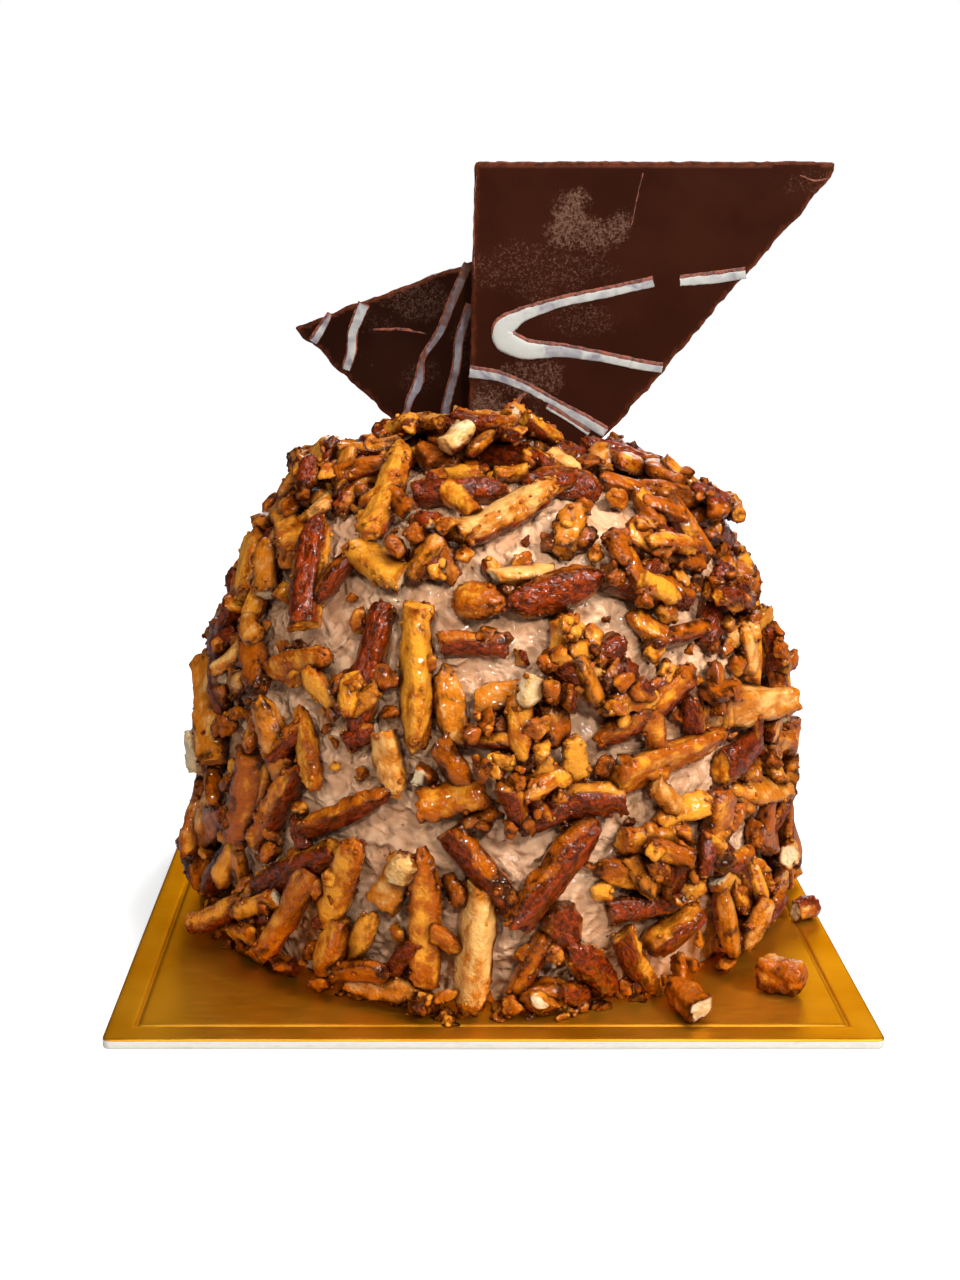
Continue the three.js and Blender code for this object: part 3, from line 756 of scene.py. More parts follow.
# Heaps of small almond pieces on the shown side: turn, way down, radius, how many bits and chips.
HEAPS = (
    (13, 67, 7, 11, 4), (0, 79, 6.5, 9, 3), (31, 104, 7, 8, 6), (53, 60, 5, 4, 2), (-63, 30, 7, 4, 6),
    (11, 131, 7, 3, 3), (52, 117, 6.5, 4, 4), (32, 51, 8, 4, 6), (-15, 47, 4.5, 4, 2), (-30, 73, 3.5, 3, 1),
    (-73, 40, 5, 3, 3), (29, 19, 8, 5, 6), (72, 43, 6.5, 5, 4), (-68, 76, 5, 2, 3), (4, 90, 5.5, 4, 3),
    (-50, 118, 6, 4, 3), (-11, 129, 4, 3, 1), (-26, 47, 3, 2, 0), (14, 44, 2.5, 2, 0), (72, 73, 4, 3, 1),
    (-79, 16, 7, 4, 6), (-49, 56, 2, 1, 0), (66, 92, 3, 2, 0), (47, 76, 2.5, 1, 0), (22, 74, 4, 4, 1),
    (7, 119, 3, 2, 0), (-32, 111, 4, 3, 0), (68, 131, 4.5, 2, 1), (-20, 12, 8, 2, 6), (20, 12, 8, 2, 6),
)

# More pieces seen on the shown side: turn, way down, lean, length, width, look, height of its middle, slope.
SHOWN_CHIPS = (
    (-61, 124, 36, 15, 6, Look.HALF, 3.5, -0.5), (-84, 97, 60, 9, 6, Look.FRESH, 3.5, 0.1),
    (-72, 19, 30, 10, 5.5, Look.GOLDEN, 5.5, 0.35), (-24, 11, 10, 8, 6.5, Look.PALE, 6, 0.0),
    (-40, 116, 62, 19, 6.5, Look.GOLDEN, 2.5, -0.2), (-31, 121, 75, 12, 6, Look.GOLDEN, 2.0, -0.25),
)

# Freshly cut white blocks that lie on top of all the rest, in the same order of values.
TOP_CHIPS = (
    (-23, 20, 70, 6.5, 5.6, Look.FRESH, 5.6, 0.3), (4, 71, 80, 6.0, 4.6, Look.FRESH, 6.2, 0.2),
    (-17, 103, 60, 6.0, 4.8, Look.FRESH, 4.2, 0.1),
)

# Almonds that lie by themselves on the board: node, x, y, heading, length, width, height, look.
LOOSE_ALMONDS = (
    ("almond_chip_right", 66.6, -15, 35, 6, 5, 4.6, "skin"),
    ("almond_chunk_right", 55, -50.5, 150, 9.5, 7.5, 6.8, "golden"),
    ("almond_sliver_front", 36.2, -59.6, -72, 11, 6, 5.2, "golden"),
)


@dataclass(frozen=True)
class Piece:
    """A piece of almond on the cream: low is how high its middle lies, tip the slope of its heading."""

    place: Place
    heading: ndarray
    length: float
    width: float
    thickness: float
    look: Look
    low: float
    tip: float

    @property
    def middle(self) -> ndarray:
        """The piece's own middle, a quarter of its thickness sunk in what it lies on."""
        return self.place.point + self.place.out * (self.low + self.thickness * 0.25)

    def axes(self) -> ndarray:
        """The piece's own length, width and thickness directions, as the columns of a matrix."""
        axis = self.heading + self.place.out * self.tip
        axis = axis / norm(axis)
        side = np.cross(self.place.out, axis)
        side = side / norm(side)
        jitter = ROLL_SPREAD * math.sin(self.place.point[0] * 1.7 + self.place.point[2] * 2.3)
        way = 1 if side @ self.place.upward > 0 else -1
        roll = Matrix.Rotation(radians(way * ROLL[self.look] + jitter), 3, "X")
        return np.column_stack([axis, side, np.cross(axis, side)]) @ np.array(roll)


@dataclass(frozen=True)
class Plank:
    """Where a plaque leaves the cake: from and to across it, its place in depth and its turn."""

    start: float
    end: float
    y: float
    turn: float

    def near(self, spot: ndarray, room: float) -> bool:
        """Tells whether a spot with some room round it would touch the plaque."""
        across = spot[1] - self.y - math.tan(radians(self.turn)) * spot[0]
        within = self.start - room < spot[0] < self.end + room
        return bool(within and spot[2] > DOME.height / 2 and abs(across) < 1.5 + room)


PLAQUE_FEET = (Plank(-5, 26, 2, 0), Plank(-24, 11, 9, -4))


class AlmondLayout:
    """Lays the almonds on the dome by the same rule as the solids, so that each has the same place."""

    STACK_SHARE = 0.38
    STACK_REACH = 0.4
    STEEPEST_TIP = 0.45
    SETTLING = 2.4
    HIGHEST_STACK = 3.4
    FILL_PLACES = 232
    FILL_SEED = 20611
    FRONT_HALF_TURN = 72
    LOOSE_REACH = 12
    ROOM = 0.5

    def __init__(self) -> None:
        """Lays all the slivers."""
        self.pieces: list[Piece] = []
        self.table = np.zeros((0, 11))
        for turn, down, lean, length, width, *rest in SHOWN_SLIVERS:
            look, tip = (*rest, *("golden", 0)[len(rest) :])
            self.lay(turn, down, lean, length, width, Look(look), tip, 5)
        self.fill()

    @staticmethod
    def draws(seed: int) -> Iterator[float]:
        """Gives seeded draws from 0 up to 1."""
        state = seed
        while True:
            state = (state * 1664525 + 1013904223) & 0xFFFFFFFF
            yield state / 4294967296

    def support(self, spots: ndarray, width: float) -> ndarray:
        """Finds the height that laid pieces give to a new one at some spots.

        Args:
            spots: Points of the cream, one in each row.
            width: The new piece's width.

        Returns:
            A height above the cream for each spot.
        """
        if not self.pieces:
            return np.zeros(len(spots))
        point, heading = self.table[:, 0:3], self.table[:, 3:6]
        length, own_width, thickness, low, tip = self.table[:, 6:].T
        offset = spots[:, None, :] - point[None]
        run = np.clip((offset * heading[None]).sum(-1), -length / 2, length / 2)
        gap = norm(offset - run[..., None] * heading[None], axis=-1)
        share = np.minimum(gap / ((own_width + width) * self.STACK_REACH), 1)
        height = low + run * tip + thickness * self.STACK_SHARE * np.sqrt(1 - share * share)
        return np.maximum(np.where(share < 1, height, 0).max(axis=1), 0)

    def meets_others(self, piece: Piece) -> bool:
        """Tells whether a piece would come too near a plaque or an almond that lies on the board."""
        room = piece.width / 2 + self.ROOM
        for share in (-0.5, -0.25, 0, 0.25, 0.5):
            spot = piece.place.point + piece.heading * (share * piece.length)
            lift = piece.low + 0.3 * piece.thickness + share * piece.length * piece.tip
            spot = spot + piece.place.out * lift
            for _, x, y, _, length, width, _, _ in LOOSE_ALMONDS:
                reach = (length + width) / 4 + room
                if spot[2] < self.LOOSE_REACH and hypot(spot[0] - x, spot[1] - y) < reach:
                    return True
            if any(foot.near(spot, room) for foot in PLAQUE_FEET):
                return True
        return False

    def lay(
        self, turn: float, down: float, lean: float, length: float, width: float, look: Look, tip: float,
        cover_allowed: int, highest: float = HIGHEST_STACK, flatness: float = 0.8,
    ) -> Piece | None:
        """Lays a piece on the cream or on the pieces below it.

        Args:
            turn: Degrees round the dome.
            down: Millimetres down from its top.
            lean: Degrees from level, anticlockwise.
            length: The piece's length.
            width: The piece's width.
            look: The side it shows.
            tip: Degrees by which its heading stands out.
            cover_allowed: How many of five spots along it may lie on other pieces.
            highest: The most that it may be lifted off the cream.
            flatness: Its thickness as a share of its width.

        Returns:
            The piece, or None where there is no room for it.
        """
        place = DOME.place(turn, down)
        angle = radians(lean)
        heading = place.level * math.cos(angle) + place.upward * math.sin(angle)
        shares = np.array([-0.4, -0.2, 0, 0.2, 0.4])
        heights = self.support(place.point + shares[:, None] * length * heading, width)
        slope = (heights[4] - heights[0]) / (0.8 * length)
        slope = max(-self.STEEPEST_TIP, min(self.STEEPEST_TIP, slope))
        low = max((heights[0] + heights[4]) / 2, heights[2]) - self.SETTLING * abs(slope)
        low = min(low, highest)
        tip = slope + math.tan(radians(tip))
        piece = Piece(place, heading, length, width, width * flatness, look, low, tip)
        if int((heights > 1).sum()) > cover_allowed or self.meets_others(piece):
            return None
        self.keep(piece)
        return piece

    def keep(self, piece: Piece) -> None:
        """Adds a piece to those that later ones rest on."""
        self.pieces.append(piece)
        numbers = (piece.length, piece.width, piece.thickness, piece.low, piece.tip)
        row = np.concatenate([piece.place.point, piece.heading, numbers])
        self.table = np.vstack([self.table, row])

    def fill(self) -> None:
        """Lays slivers in the gaps, at places spread evenly by the golden angle and seeded draws."""
        draw = self.draws(self.FILL_SEED)
        whole_down, _, _, whole_area = DOME.line[-1]
        for i in range(self.FILL_PLACES):
            area = (whole_area * (i + next(draw))) / self.FILL_PLACES
            turn = (i * GOLDEN_ANGLE + 8 * (next(draw) - 0.5)) % 360 - 180
            down = min(DOME.line[DOME.index(3, area)][0], whole_down - 4)
            lean = 180 * next(draw)
            length = 14 + 12 * next(draw)
            sort = next(draw)
            width = 5 + 2.4 * sort
            look = Look.SKIN if sort < 0.2 else Look.HALF if sort < 0.42 else Look.GOLDEN if sort < 0.85 else Look.PALE
            tip = 16 * (next(draw) - 0.5)
            front = abs(turn) < self.FRONT_HALF_TURN
            if not on_bare_cream(DOME.place(turn, down).point, 0.25 * length):
                self.lay(turn, down, lean, length, width, look, tip, 1 if front else 3)


class Cut(Enum):
    """How far a piece of almond is chopped."""

    CHIP = "chip"
    BIT = "bit"
    CRUMB = "crumb"


@dataclass(frozen=True)
class CutSize:
    """The sizes that a cut comes in: length and width from and to, and how high it may lie."""

    length: tuple[float, float]
    width: tuple[float, float]
    highest: float
    flatness: float


@dataclass
class BitLayout:
    """Lays the smaller pieces that are left out of the solids: in the gaps, and in heaps."""

    slivers: AlmondLayout
    gap_places: int = 2600
    foot_places: int = 170
    foot_bits: int = 150
    shown_half_turn: float = 84
    seed: int = 4117
    laid: dict[Cut, list[Piece]] = field(default_factory=lambda: {cut: [] for cut in Cut})

    SIZES = {
        Cut.CHIP: CutSize((6.5, 12.0), (3.2, 5.0), 2.8, 0.8), Cut.BIT: CutSize((3.4, 6.4), (3.0, 4.8), 2.4, 0.9),
        Cut.CRUMB: CutSize((1.7, 3.2), (1.5, 2.5), 5.0, 0.9),
    }
    LOOKS = (Look.GOLDEN, Look.HALF, Look.SKIN, Look.GOLDEN, Look.PALE, Look.GOLDEN)

    def lay_all(self) -> None:
        """Hangs chips round the foot, fills the gaps, then builds the heaps on top."""
        random = np.random.default_rng(self.seed)
        self.lay_given(SHOWN_CHIPS)
        self.hang_foot(random)
        self.fill_gaps(random)
        self.build_heaps(random)
        self.lay_given(TOP_CHIPS)

    def lay_given(self, chips: Sequence[tuple]) -> None:
        """Lays chips at given places.

        Args:
            chips: Their rows of turn, way down, lean, length, width, look, height and slope.
        """
        for turn, down, lean, length, width, look, low, slope in chips:
            place, angle = DOME.place(turn, down), radians(lean)
            heading = place.level * math.cos(angle) + place.upward * math.sin(angle)
            piece = Piece(place, heading, length, width, width * 0.8, look, low, slope)
            self.slivers.keep(piece)
            self.laid[Cut.CHIP].append(piece)

    def lay(self, cut: Cut, turn: float, down: float, highest: float, random: Draws) -> None:
        """Lays one piece, drawn at random within the sizes of its cut.

        Args:
            cut: How far it is chopped.
            turn: Degrees round the dome.
            down: Millimetres down from its top.
            highest: The most that it may be lifted off the cream.
            random: The draws.
        """
        size, big, slim = self.SIZES[cut], random.random(), random.random()
        length = size.length[0] + (size.length[1] - size.length[0]) * big
        width = min(size.width[0] + (size.width[1] - size.width[0]) * (0.6 * big + 0.4 * slim), length)
        look = self.LOOKS[int(random.random() * len(self.LOOKS) * 0.9999)]
        lean, tip = 180 * random.random(), (24 if cut is Cut.CHIP else 40) * (random.random() - 0.5)
        length = min(length, max(1.6 * (DOME.line[-1][0] - down), 2.6))
        piece = self.slivers.lay(turn, down, lean, length, width, look, tip, 5, highest, size.flatness)
        if piece:
            self.laid[cut].append(piece)

    def hang_foot(self, random: Draws) -> None:
        """Hangs long chips close together round the foot of the dome, most of them upright."""
        for i in range(self.foot_places):
            turn = (i * 137.508) % 360 - 180
            length, width = 11 + 9 * random.random(), 4.6 + 2.2 * random.random()
            down = DOME.line[-1][0] - 0.5 * length - 1.5 - 10 * random.random()
            lean = 90 + 64 * (random.random() - 0.5)
            look = self.LOOKS[int(random.random() * len(self.LOOKS) * 0.9999)]
            point, shown = DOME.place(turn, down).point, abs(turn) < self.shown_half_turn
            height = float(self.slivers.support(point[None], 3.0)[0])
            if on_bare_cream(point, 2.0) or (shown and height > 1.6):
                continue
            allowed, highest = (3, 2.4) if shown else (5, 4.2)
            tip = -14 * random.random()
            piece = self.slivers.lay(turn, down, lean, length, width, look, tip, allowed, highest, 0.75)
            if piece:
                self.laid[Cut.CHIP].append(piece)
        for i in range(self.foot_bits):
            turn, rise = 360 * (i + random.random()) / self.foot_bits - 180, 1.6 + 2.6 * random.random()
            self.lay(Cut.CRUMB if i % 3 else Cut.BIT, turn, DOME.line[-1][0] - rise, 3.0, random)

    def fill_gaps(self, random: Draws) -> None:
        """Puts chips, bits and crumbs in the gaps between the slivers, all round the dome."""
        whole_down, _, _, whole_area = DOME.line[-1]
        for i in range(self.gap_places):
            area = whole_area * (i + random.random()) / self.gap_places
            turn = (i * GOLDEN_ANGLE + 10 * (random.random() - 0.5)) % 360 - 180
            down = min(DOME.line[DOME.index(3, area)][0], whole_down - 2)
            sort = random.random()
            cut = Cut.CHIP if sort < 0.36 else Cut.BIT if sort < 0.7 else Cut.CRUMB
            point = DOME.place(turn, down).point
            room = {Cut.CHIP: 0.4, Cut.BIT: -1.0, Cut.CRUMB: -1.4}[cut]
            if on_bare_cream(point, room) and (cut is not Cut.CRUMB or random.random() > 0.05):
                continue
            height = float(self.slivers.support(point[None], 3.0)[0])
            shown = abs(turn) < self.shown_half_turn and random.random() > 0.08
            if height < (0.9 if shown else self.SIZES[cut].highest):
                self.lay(cut, turn, down, 3.4 if cut is not Cut.CRUMB else 5.5, random)

    def build_heaps(self, random: Draws) -> None:
        """Heaps pieces at the places where the shown side has them."""
        golden_angle = pi * (3 - sqrt(5))
        for turn, down, radius, count, chips in HEAPS:
            around = max(DOME.line[DOME.index(0, down)][1], 8)
            crumbs = (count + chips) // 2
            for i, cut in enumerate([Cut.CHIP] * chips + [Cut.BIT] * count + [Cut.CRUMB] * crumbs):
                share = (i + 0.5) / (count + chips) if cut is not Cut.CRUMB else random.random()
                reach = radius * sqrt(min(share, 1.0))
                angle = i * golden_angle + random.random()
                spot_turn = turn + math.degrees(reach * math.cos(angle) / around)
                spot_down = min(max(down + reach * math.sin(angle), 1.0), DOME.line[-1][0] - 2)
                self.lay(cut, spot_turn, spot_down, 7.0, random)


# --- almonds, as shapes


class End(Enum):
    """How a sliver ends: the almond's point, its round end, or broken off."""

    POINT = "point"
    ROUND = "round"
    BROKEN = "broken"


@dataclass(frozen=True)
class SliverForm:
    """A stick cut from an almond, of unit size, long in x: a cut face below, the skin on its back."""

    aspect: float
    ends: tuple[End, End]
    rings: int = 28
    around: int = 32

    def share(self, station: ndarray) -> ndarray:
        """The width left at each station from -1 to 1 along the stick."""
        reach = np.abs(station)
        shares = {
            End.POINT: np.maximum(1 - reach**2.4, 0) ** 0.75, End.ROUND: np.maximum(1 - reach**4.5, 0) ** 0.5,
            End.BROKEN: 1 - 0.2 * reach**3,
        }
        return np.where(station < 0, shares[self.ends[0]], shares[self.ends[1]])

    def section(self, random: Draws) -> tuple[ndarray, ndarray]:
        """Draws the cross-section: a wide cut face below, sides that lean in, a bulging back.

        Args:
            random: The draws.

        Returns:
            Its points (y, z), and how near each is to an edge between two cut faces.
        """
        corners = [(-0.46, -0.3), (-0.26, -0.5), (0.26, -0.5), (0.48, -0.3), (0.44, 0.18), (0.24, 0.48), (-0.24, 0.48)]
        corners = np.array([*corners, (-0.44, 0.18)]) + 0.05 * random.standard_normal((8, 2))
        closed = np.vstack([corners, corners[:1]])
        steps = norm(np.diff(closed, axis=0), axis=1)
        way = np.concatenate([[0], np.cumsum(steps)])
        at = np.linspace(0, way[-1], self.around, endpoint=False)
        points = np.column_stack([np.interp(at, way, closed[:, k]) for k in (0, 1)])
        gaps = np.abs(at[:, None] - way[None, [0, 3, 4, 7, 8]])
        edge = np.exp(-((gaps.min(axis=1) / 0.16) ** 2))
        points = rounded(points)
        span = np.abs(points).max(axis=0)
        return points * (0.5 / span), edge

    def shape(self, seed: int) -> Surface:
        """Makes one stick.

        Args:
            seed: Picks its cut, bend, twist and bumps.

        Returns:
            The closed surface with the marks skin, cut and crust.
        """
        random = np.random.default_rng(seed)
        section, edge = self.section(random)
        inner = np.linspace(-1, 1, self.rings)
        inner = np.sin(inner * pi / 2 * 0.93) / math.sin(pi / 2 * 0.93)
        station = np.clip(inner, -0.985, 0.985)
        share = self.share(station)
        line = np.stack([station, share, np.zeros(len(station))])
        for side, end in enumerate(self.ends):
            if end is End.BROKEN:  # two more rings, smaller and smaller
                at, wide, _ = line[:, -side]
                more = np.array([(at, at), (wide * 0.34, wide * 0.72), (1, 1)])
                line = np.hstack([line, more[:, ::-1]] if side else [more, line])
        station, share, caps = line

        turn = radians(18) * random.uniform(-1, 1) * station
        bend_y, bend_z = random.uniform(-0.1, 0.1), random.uniform(-0.16, 0.08)
        waist = 1 + 0.1 * np.sin(3 * station + random.uniform(0, 6))
        cos, sin = np.cos(turn)[:, None], np.sin(turn)[:, None]
        width = (share * waist)[:, None]
        flat = (0.35 * share + 0.65 * share**0.6)[:, None]
        y = section[None, :, 0] * width * cos - section[None, :, 1] * flat * sin
        z = section[None, :, 0] * width * sin + section[None, :, 1] * flat * cos
        x = np.repeat(station[:, None] / 2, self.around, axis=1)
        skew = smooth_step(np.abs(station), 0.5, 1.0)[:, None] * np.sign(station)[:, None]
        x = x + skew * (random.uniform(-0.3, 0.3) * y + random.uniform(-0.2, 0.2) * z) / self.aspect
        bow = (station**2)[:, None]
        outward = np.stack([np.zeros_like(y), y, z], axis=-1).reshape(-1, 3)
        points = np.stack([x, y + bend_y * bow, z + bend_z * bow], axis=-1).reshape(-1, 3)

        real = points * np.array([self.aspect, 1.0, 0.8])
        lumps = 0.05 * smooth_noise(real, 0.6, seed) + 0.03 * smooth_noise(real, 0.27, seed + 7)
        points = points + outward * (lumps * 2)[:, None]
        cap = np.repeat(caps, self.around)
        points[:, 0] += cap * 0.06 / self.aspect * smooth_noise(real, 0.22, seed + 3)

        back = np.repeat(section[None, :, 1], len(station), axis=0).ravel()
        ragged = 0.12 * smooth_noise(real, 0.5, seed + 11)
        skin = smooth_step(back + ragged, 0.16, 0.26) * (1 - cap)
        reach = np.abs(np.repeat(station, self.around))
        rough = np.tile(edge, len(station)) * 0.8 + smooth_step(reach, 0.72, 0.98) * 0.7
        rough = np.clip(rough + 0.1 + 0.7 * smooth_noise(real, 0.8, seed + 5), 0, 1) * (1 - 0.7 * cap)

        middles = np.array([points[: self.around].mean(axis=0), points[-self.around :].mean(axis=0)])
        for row, end in enumerate(self.ends):
            middles[row, 0] += (2 * row - 1) * (0.0 if end is End.BROKEN else 0.006)
        points = np.vstack([points, middles])
        tail = [1.0 if end is End.BROKEN else 0.0 for end in self.ends]
        marks = {
            "skin": np.append(skin, [0, 0]), "cut": np.append(cap, tail), "crust": np.append(rough, [0.3, 0.3]),
            "raised": np.full(len(points), 0.5), "own": points * np.array([self.aspect, 1.0, 0.8]) * 6,
        }
        return Surface(points, list(ring_faces(len(station), self.around)), marks)


@dataclass(frozen=True)
class BitForm:
    """A chopped almond bit of unit size in caramel: a lump with a few flat cuts."""

    levels: int = 3
    cuts: int = 6
    bumps: float = 0.07

    def shape(self, seed: int) -> Surface:
        """Makes one bit.

        Args:
            seed: Picks its cuts and bumps.

        Returns:
            The closed surface with the marks skin, cut and crust.
        """
        random = np.random.default_rng(seed)
        ball = bmesh.new()
        bmesh.ops.create_icosphere(ball, subdivisions=self.levels, radius=0.5)
        points = np.array([v.co for v in ball.verts])
        faces = [tuple(v.index for v in f.verts) for f in ball.faces]
        ball.free()
        points = points * (1 + 0.5 * smooth_noise(points, 0.45, seed)[:, None])
        skin = np.zeros(len(points))
        fresh = np.zeros(len(points))
        for cut in range(self.cuts):
            normal = random.standard_normal(3)
            normal /= norm(normal)
            depth = random.uniform(0.18, 0.36)
            beyond = np.maximum(points @ normal - depth, 0)
            points = points - np.outer(beyond, normal)
            if cut == 0 and seed % 3 == 0:
                skin = smooth_step(beyond, 0.0, 0.02)
            if cut == 1 and seed % 8 == 0:
                fresh = smooth_step(beyond, 0.04, 0.06)
        points = points * (1 + self.bumps * 2 * smooth_noise(points, 0.2, seed + 1)[:, None])
        points /= 2 * np.abs(points).max(axis=0)
        crust = np.clip(0.55 + 0.5 * smooth_noise(points, 0.4, seed + 2), 0, 1)
        return Surface(points, faces, {"skin": skin, "cut": fresh, "crust": crust, "own": points * 5})


@dataclass
class AlmondCover:
    """All the almond on the dome: one piece for each kind, made from a few shapes by a rule."""

    slivers: Sequence[Piece]
    cuts: Mapping[Cut, Sequence[Piece]]
    long_forms: tuple[tuple[float, End, End], ...] = (
        (3.6, End.BROKEN, End.POINT), (3.4, End.ROUND, End.BROKEN), (4.0, End.POINT, End.ROUND),
        (3.2, End.BROKEN, End.ROUND), (3.8, End.BROKEN, End.BROKEN), (3.6, End.ROUND, End.POINT),
    )
    short_forms: tuple[tuple[float, End, End], ...] = (
        (2.2, End.BROKEN, End.ROUND), (2.0, End.BROKEN, End.BROKEN),
        (2.4, End.POINT, End.BROKEN), (1.8, End.ROUND, End.ROUND),
    )
    long_length: float = 15.0
    bit_shapes: int = 16
    crumb_shapes: int = 8
    granule_shapes: int = 6
    granules_per_square_mm: float = 0.15
    board_clearance: float = 0.06

    def stores(self) -> dict[str, Collection]:
        """Makes the shapes that the rules pick from.

        Returns:
            A collection for each of long, short, chip, bit, crumb and granule.
        """
        longs, shorts = self.long_forms * 2, self.short_forms * 2
        shapes = {
            "long": [SliverForm(a, (s, e)).shape(31 + 17 * k) for k, (a, s, e) in enumerate(longs)],
            "short": [SliverForm(a, (s, e), 20, 28).shape(601 + 13 * k) for k, (a, s, e) in enumerate(shorts)],
            "chip": [SliverForm(a, (s, e), 13, 18).shape(811 + 11 * k) for k, (a, s, e) in enumerate(shorts)],
            "bit": [BitForm().shape(900 + k) for k in range(self.bit_shapes)],
            "crumb": [BitForm(2, 4).shape(1200 + k) for k in range(self.crumb_shapes)],
            "granule": [BitForm(1, 2, 0.0).shape(1500 + k) for k in range(self.granule_shapes)],
        }
        for granule in shapes["granule"]:
            granule.marks.clear()
        stores = {name: bpy.data.collections.new(f"{name}_shapes") for name in shapes}
        for name, store in stores.items():
            for number, shape in enumerate(shapes[name]):
                unit = Surface(shape.points / MM, shape.faces, shape.marks)  # a millimetre is one unit
                store.objects.link(unit.to_object(f"{name}_shape_{number:02d}"))
        return stores

    def points(self, name: str, pieces: Sequence[Piece], count: int) -> Object:
        """Makes one point for each piece, which carries its turn, size, shape and tone.

        Args:
            name: The object's name.
            pieces: The pieces.
            count: How many shapes there are to take in turn.

        Returns:
            The object, not in the scene.
        """
        marks = {
            "size": np.array([(p.length, p.width, p.thickness) for p in pieces]) * MM,
            "tone": np.array([(n * 0.618034 + 0.13 * math.sin(7 * n)) % 1 for n in range(len(pieces))]),
        }
        spots = Surface(np.array([p.middle for p in pieces]), [], marks).to_object(name)
        attributes = spots.data.attributes
        turned = [part for p in pieces for part in Matrix(p.axes().tolist()).to_quaternion()]
        attributes.new("turned", "QUATERNION", "POINT").data.foreach_set("value", turned)
        shapes = [n * 5 % count for n in range(len(pieces))]
        attributes.new("shape", "INT", "POINT").data.foreach_set("value", shapes)
        return spots

    def laying_rule(self, name: str, store: Collection, finish: Material) -> ShapeRule:
        """Builds the rule that lays shapes at points and gives each its own bumps of caramel.

        Args:
            name: The tree's name.
            store: The shapes.
            finish: The finish of the result.

        Returns:
            The rule.
        """
        rule = ShapeRule(name)
        add = rule.add
        coat = rule.given("Coat Bump Height", 0.0006)
        crumb = rule.given("Edge Crumb Height", 0.0026)
        fold = rule.given("Skin Fold Height", 0.0012)
        marks = {
            mark: add(NAMED, {"data_type": kind}, (mark,))
            for mark, kind in (
                ("shape", "INT"), ("turned", "QUATERNION"), ("size", "FLOAT_VECTOR"), ("tone", "FLOAT"),
                ("crust", "FLOAT"), ("skin", "FLOAT"),
            )
        }
        links = (rule.given("Shapes", store), True, True)
        links = {
            "Points": rule.start, "Instance": add("GeometryNodeCollectionInfo", None, links), "Pick Instance": True,
            "Instance Index": marks["shape"], "Rotation": marks["turned"], "Scale": marks["size"],
        }
        laid = add("GeometryNodeInstanceOnPoints", None, links)
        real = add("GeometryNodeRealizeInstances", {}, {"Geometry": laid})
        own = {"W": add(MATH, TIMES, (marks["tone"], 60.0))}
        waves = add(NOISE, OWN_PATTERN, {**own, "Scale": per_mm(2.6), "Detail": 1.0})
        crumbs = add(NOISE, OWN_PATTERN, {**own, "Scale": per_mm(1.15), "Detail": 1.0})
        folds = add(NOISE, OWN_PATTERN, {**own, "Scale": per_mm(1.7), "Detail": 2.0, "Distortion": 1.0})
        smooth = add(MATH, TIMES, (add(MATH, LESS, (waves, 0.5)), coat))
        rough = add(MATH, TIMES, (add(MATH, LESS, (crumbs, 0.42)), crumb))
        rough = add(MATH, TIMES, (rough, marks["crust"]))
        wrinkled = add(MATH, TIMES, (add(MATH, LESS, (folds, 0.5)), fold))
        wrinkled = add(MATH, TIMES, (wrinkled, marks["skin"]))
        height = add(MATH, PLUS, (smooth, add(MATH, PLUS, (rough, wrinkled))))
        raised = add(MATH, TIMES, (add(MATH, PLUS, (waves, crumbs)), 0.5))
        links = {"Geometry": real, "Name": "raised", "Value": raised}
        real = add("GeometryNodeStoreNamedAttribute", {"data_type": "FLOAT", "domain": "POINT"}, links)
        offset = add(VECTOR_MATH, SCALE, {0: add("GeometryNodeInputNormal"), "Scale": height})
        rule.end(add("GeometryNodeSetPosition", {}, {"Geometry": real, "Offset": offset}), finish)
        return rule

    def granule_rule(self, store: Collection, finish: Material) -> ShapeRule:
        """Builds the rule that scatters granules over the rough edges and ends of the slivers.

        Args:
            store: The granules' shapes.
            finish: Their finish.

        Returns:
            The rule.
        """
        rule = ShapeRule("scatter_sugar_granules")
        add = rule.add
        density = rule.given("Granules Per Square Metre", self.granules_per_square_mm * 1e6)
        sizes = {2: rule.given("Smallest", 0.0005), 3: rule.given("Largest", 0.0014)}
        seed = rule.given("Seed", 73)
        crust = add(NAMED, FLOAT, ("crust",))
        share = add(MATH, {"operation": "POWER"}, (crust, 1.6))
        links = {"Mesh": rule.start, "Density": add(MATH, TIMES, (share, density)), "Seed": seed}
        spots = add("GeometryNodeDistributePointsOnFaces", {"distribute_method": "RANDOM"}, links)
        links = (rule.given("Shapes", store), True, True)
        children = add("GeometryNodeCollectionInfo", None, links)
        chance = add("FunctionNodeRandomValue", FLOAT, {2: 0.0, 3: 1.0, "Seed": seed}, 1)
        share = add(MATH, {"operation": "POWER"}, (chance, 2.2))
        size = add(RANGE, {}, {0: share, 3: sizes[2], 4: sizes[3]})
        number = {4: 0, 5: self.granule_shapes - 1, "Seed": seed}
        links = {
            "Points": spots, "Instance": children, "Pick Instance": True,
            "Instance Index": add("FunctionNodeRandomValue", {"data_type": "INT"}, number, 2),
            "Rotation": spots.node.outputs["Rotation"], "Scale": size,
        }
        rule.end(add("GeometryNodeInstanceOnPoints", None, links), finish)
        return rule

    def rest_on_board(self, piece: Object) -> None:
        """Presses whatever would dip into the board flat against its top."""
        mesh = piece.data
        places = np.zeros(len(mesh.vertices) * 3, np.float32)
        mesh.vertices.foreach_get("co", places)
        places = places.reshape(-1, 3)
        places[:, 2] = np.maximum(places[:, 2], (BOARD_TOP + self.board_clearance) * MM)
        mesh.vertices.foreach_set("co", places.ravel())
        mesh.update()

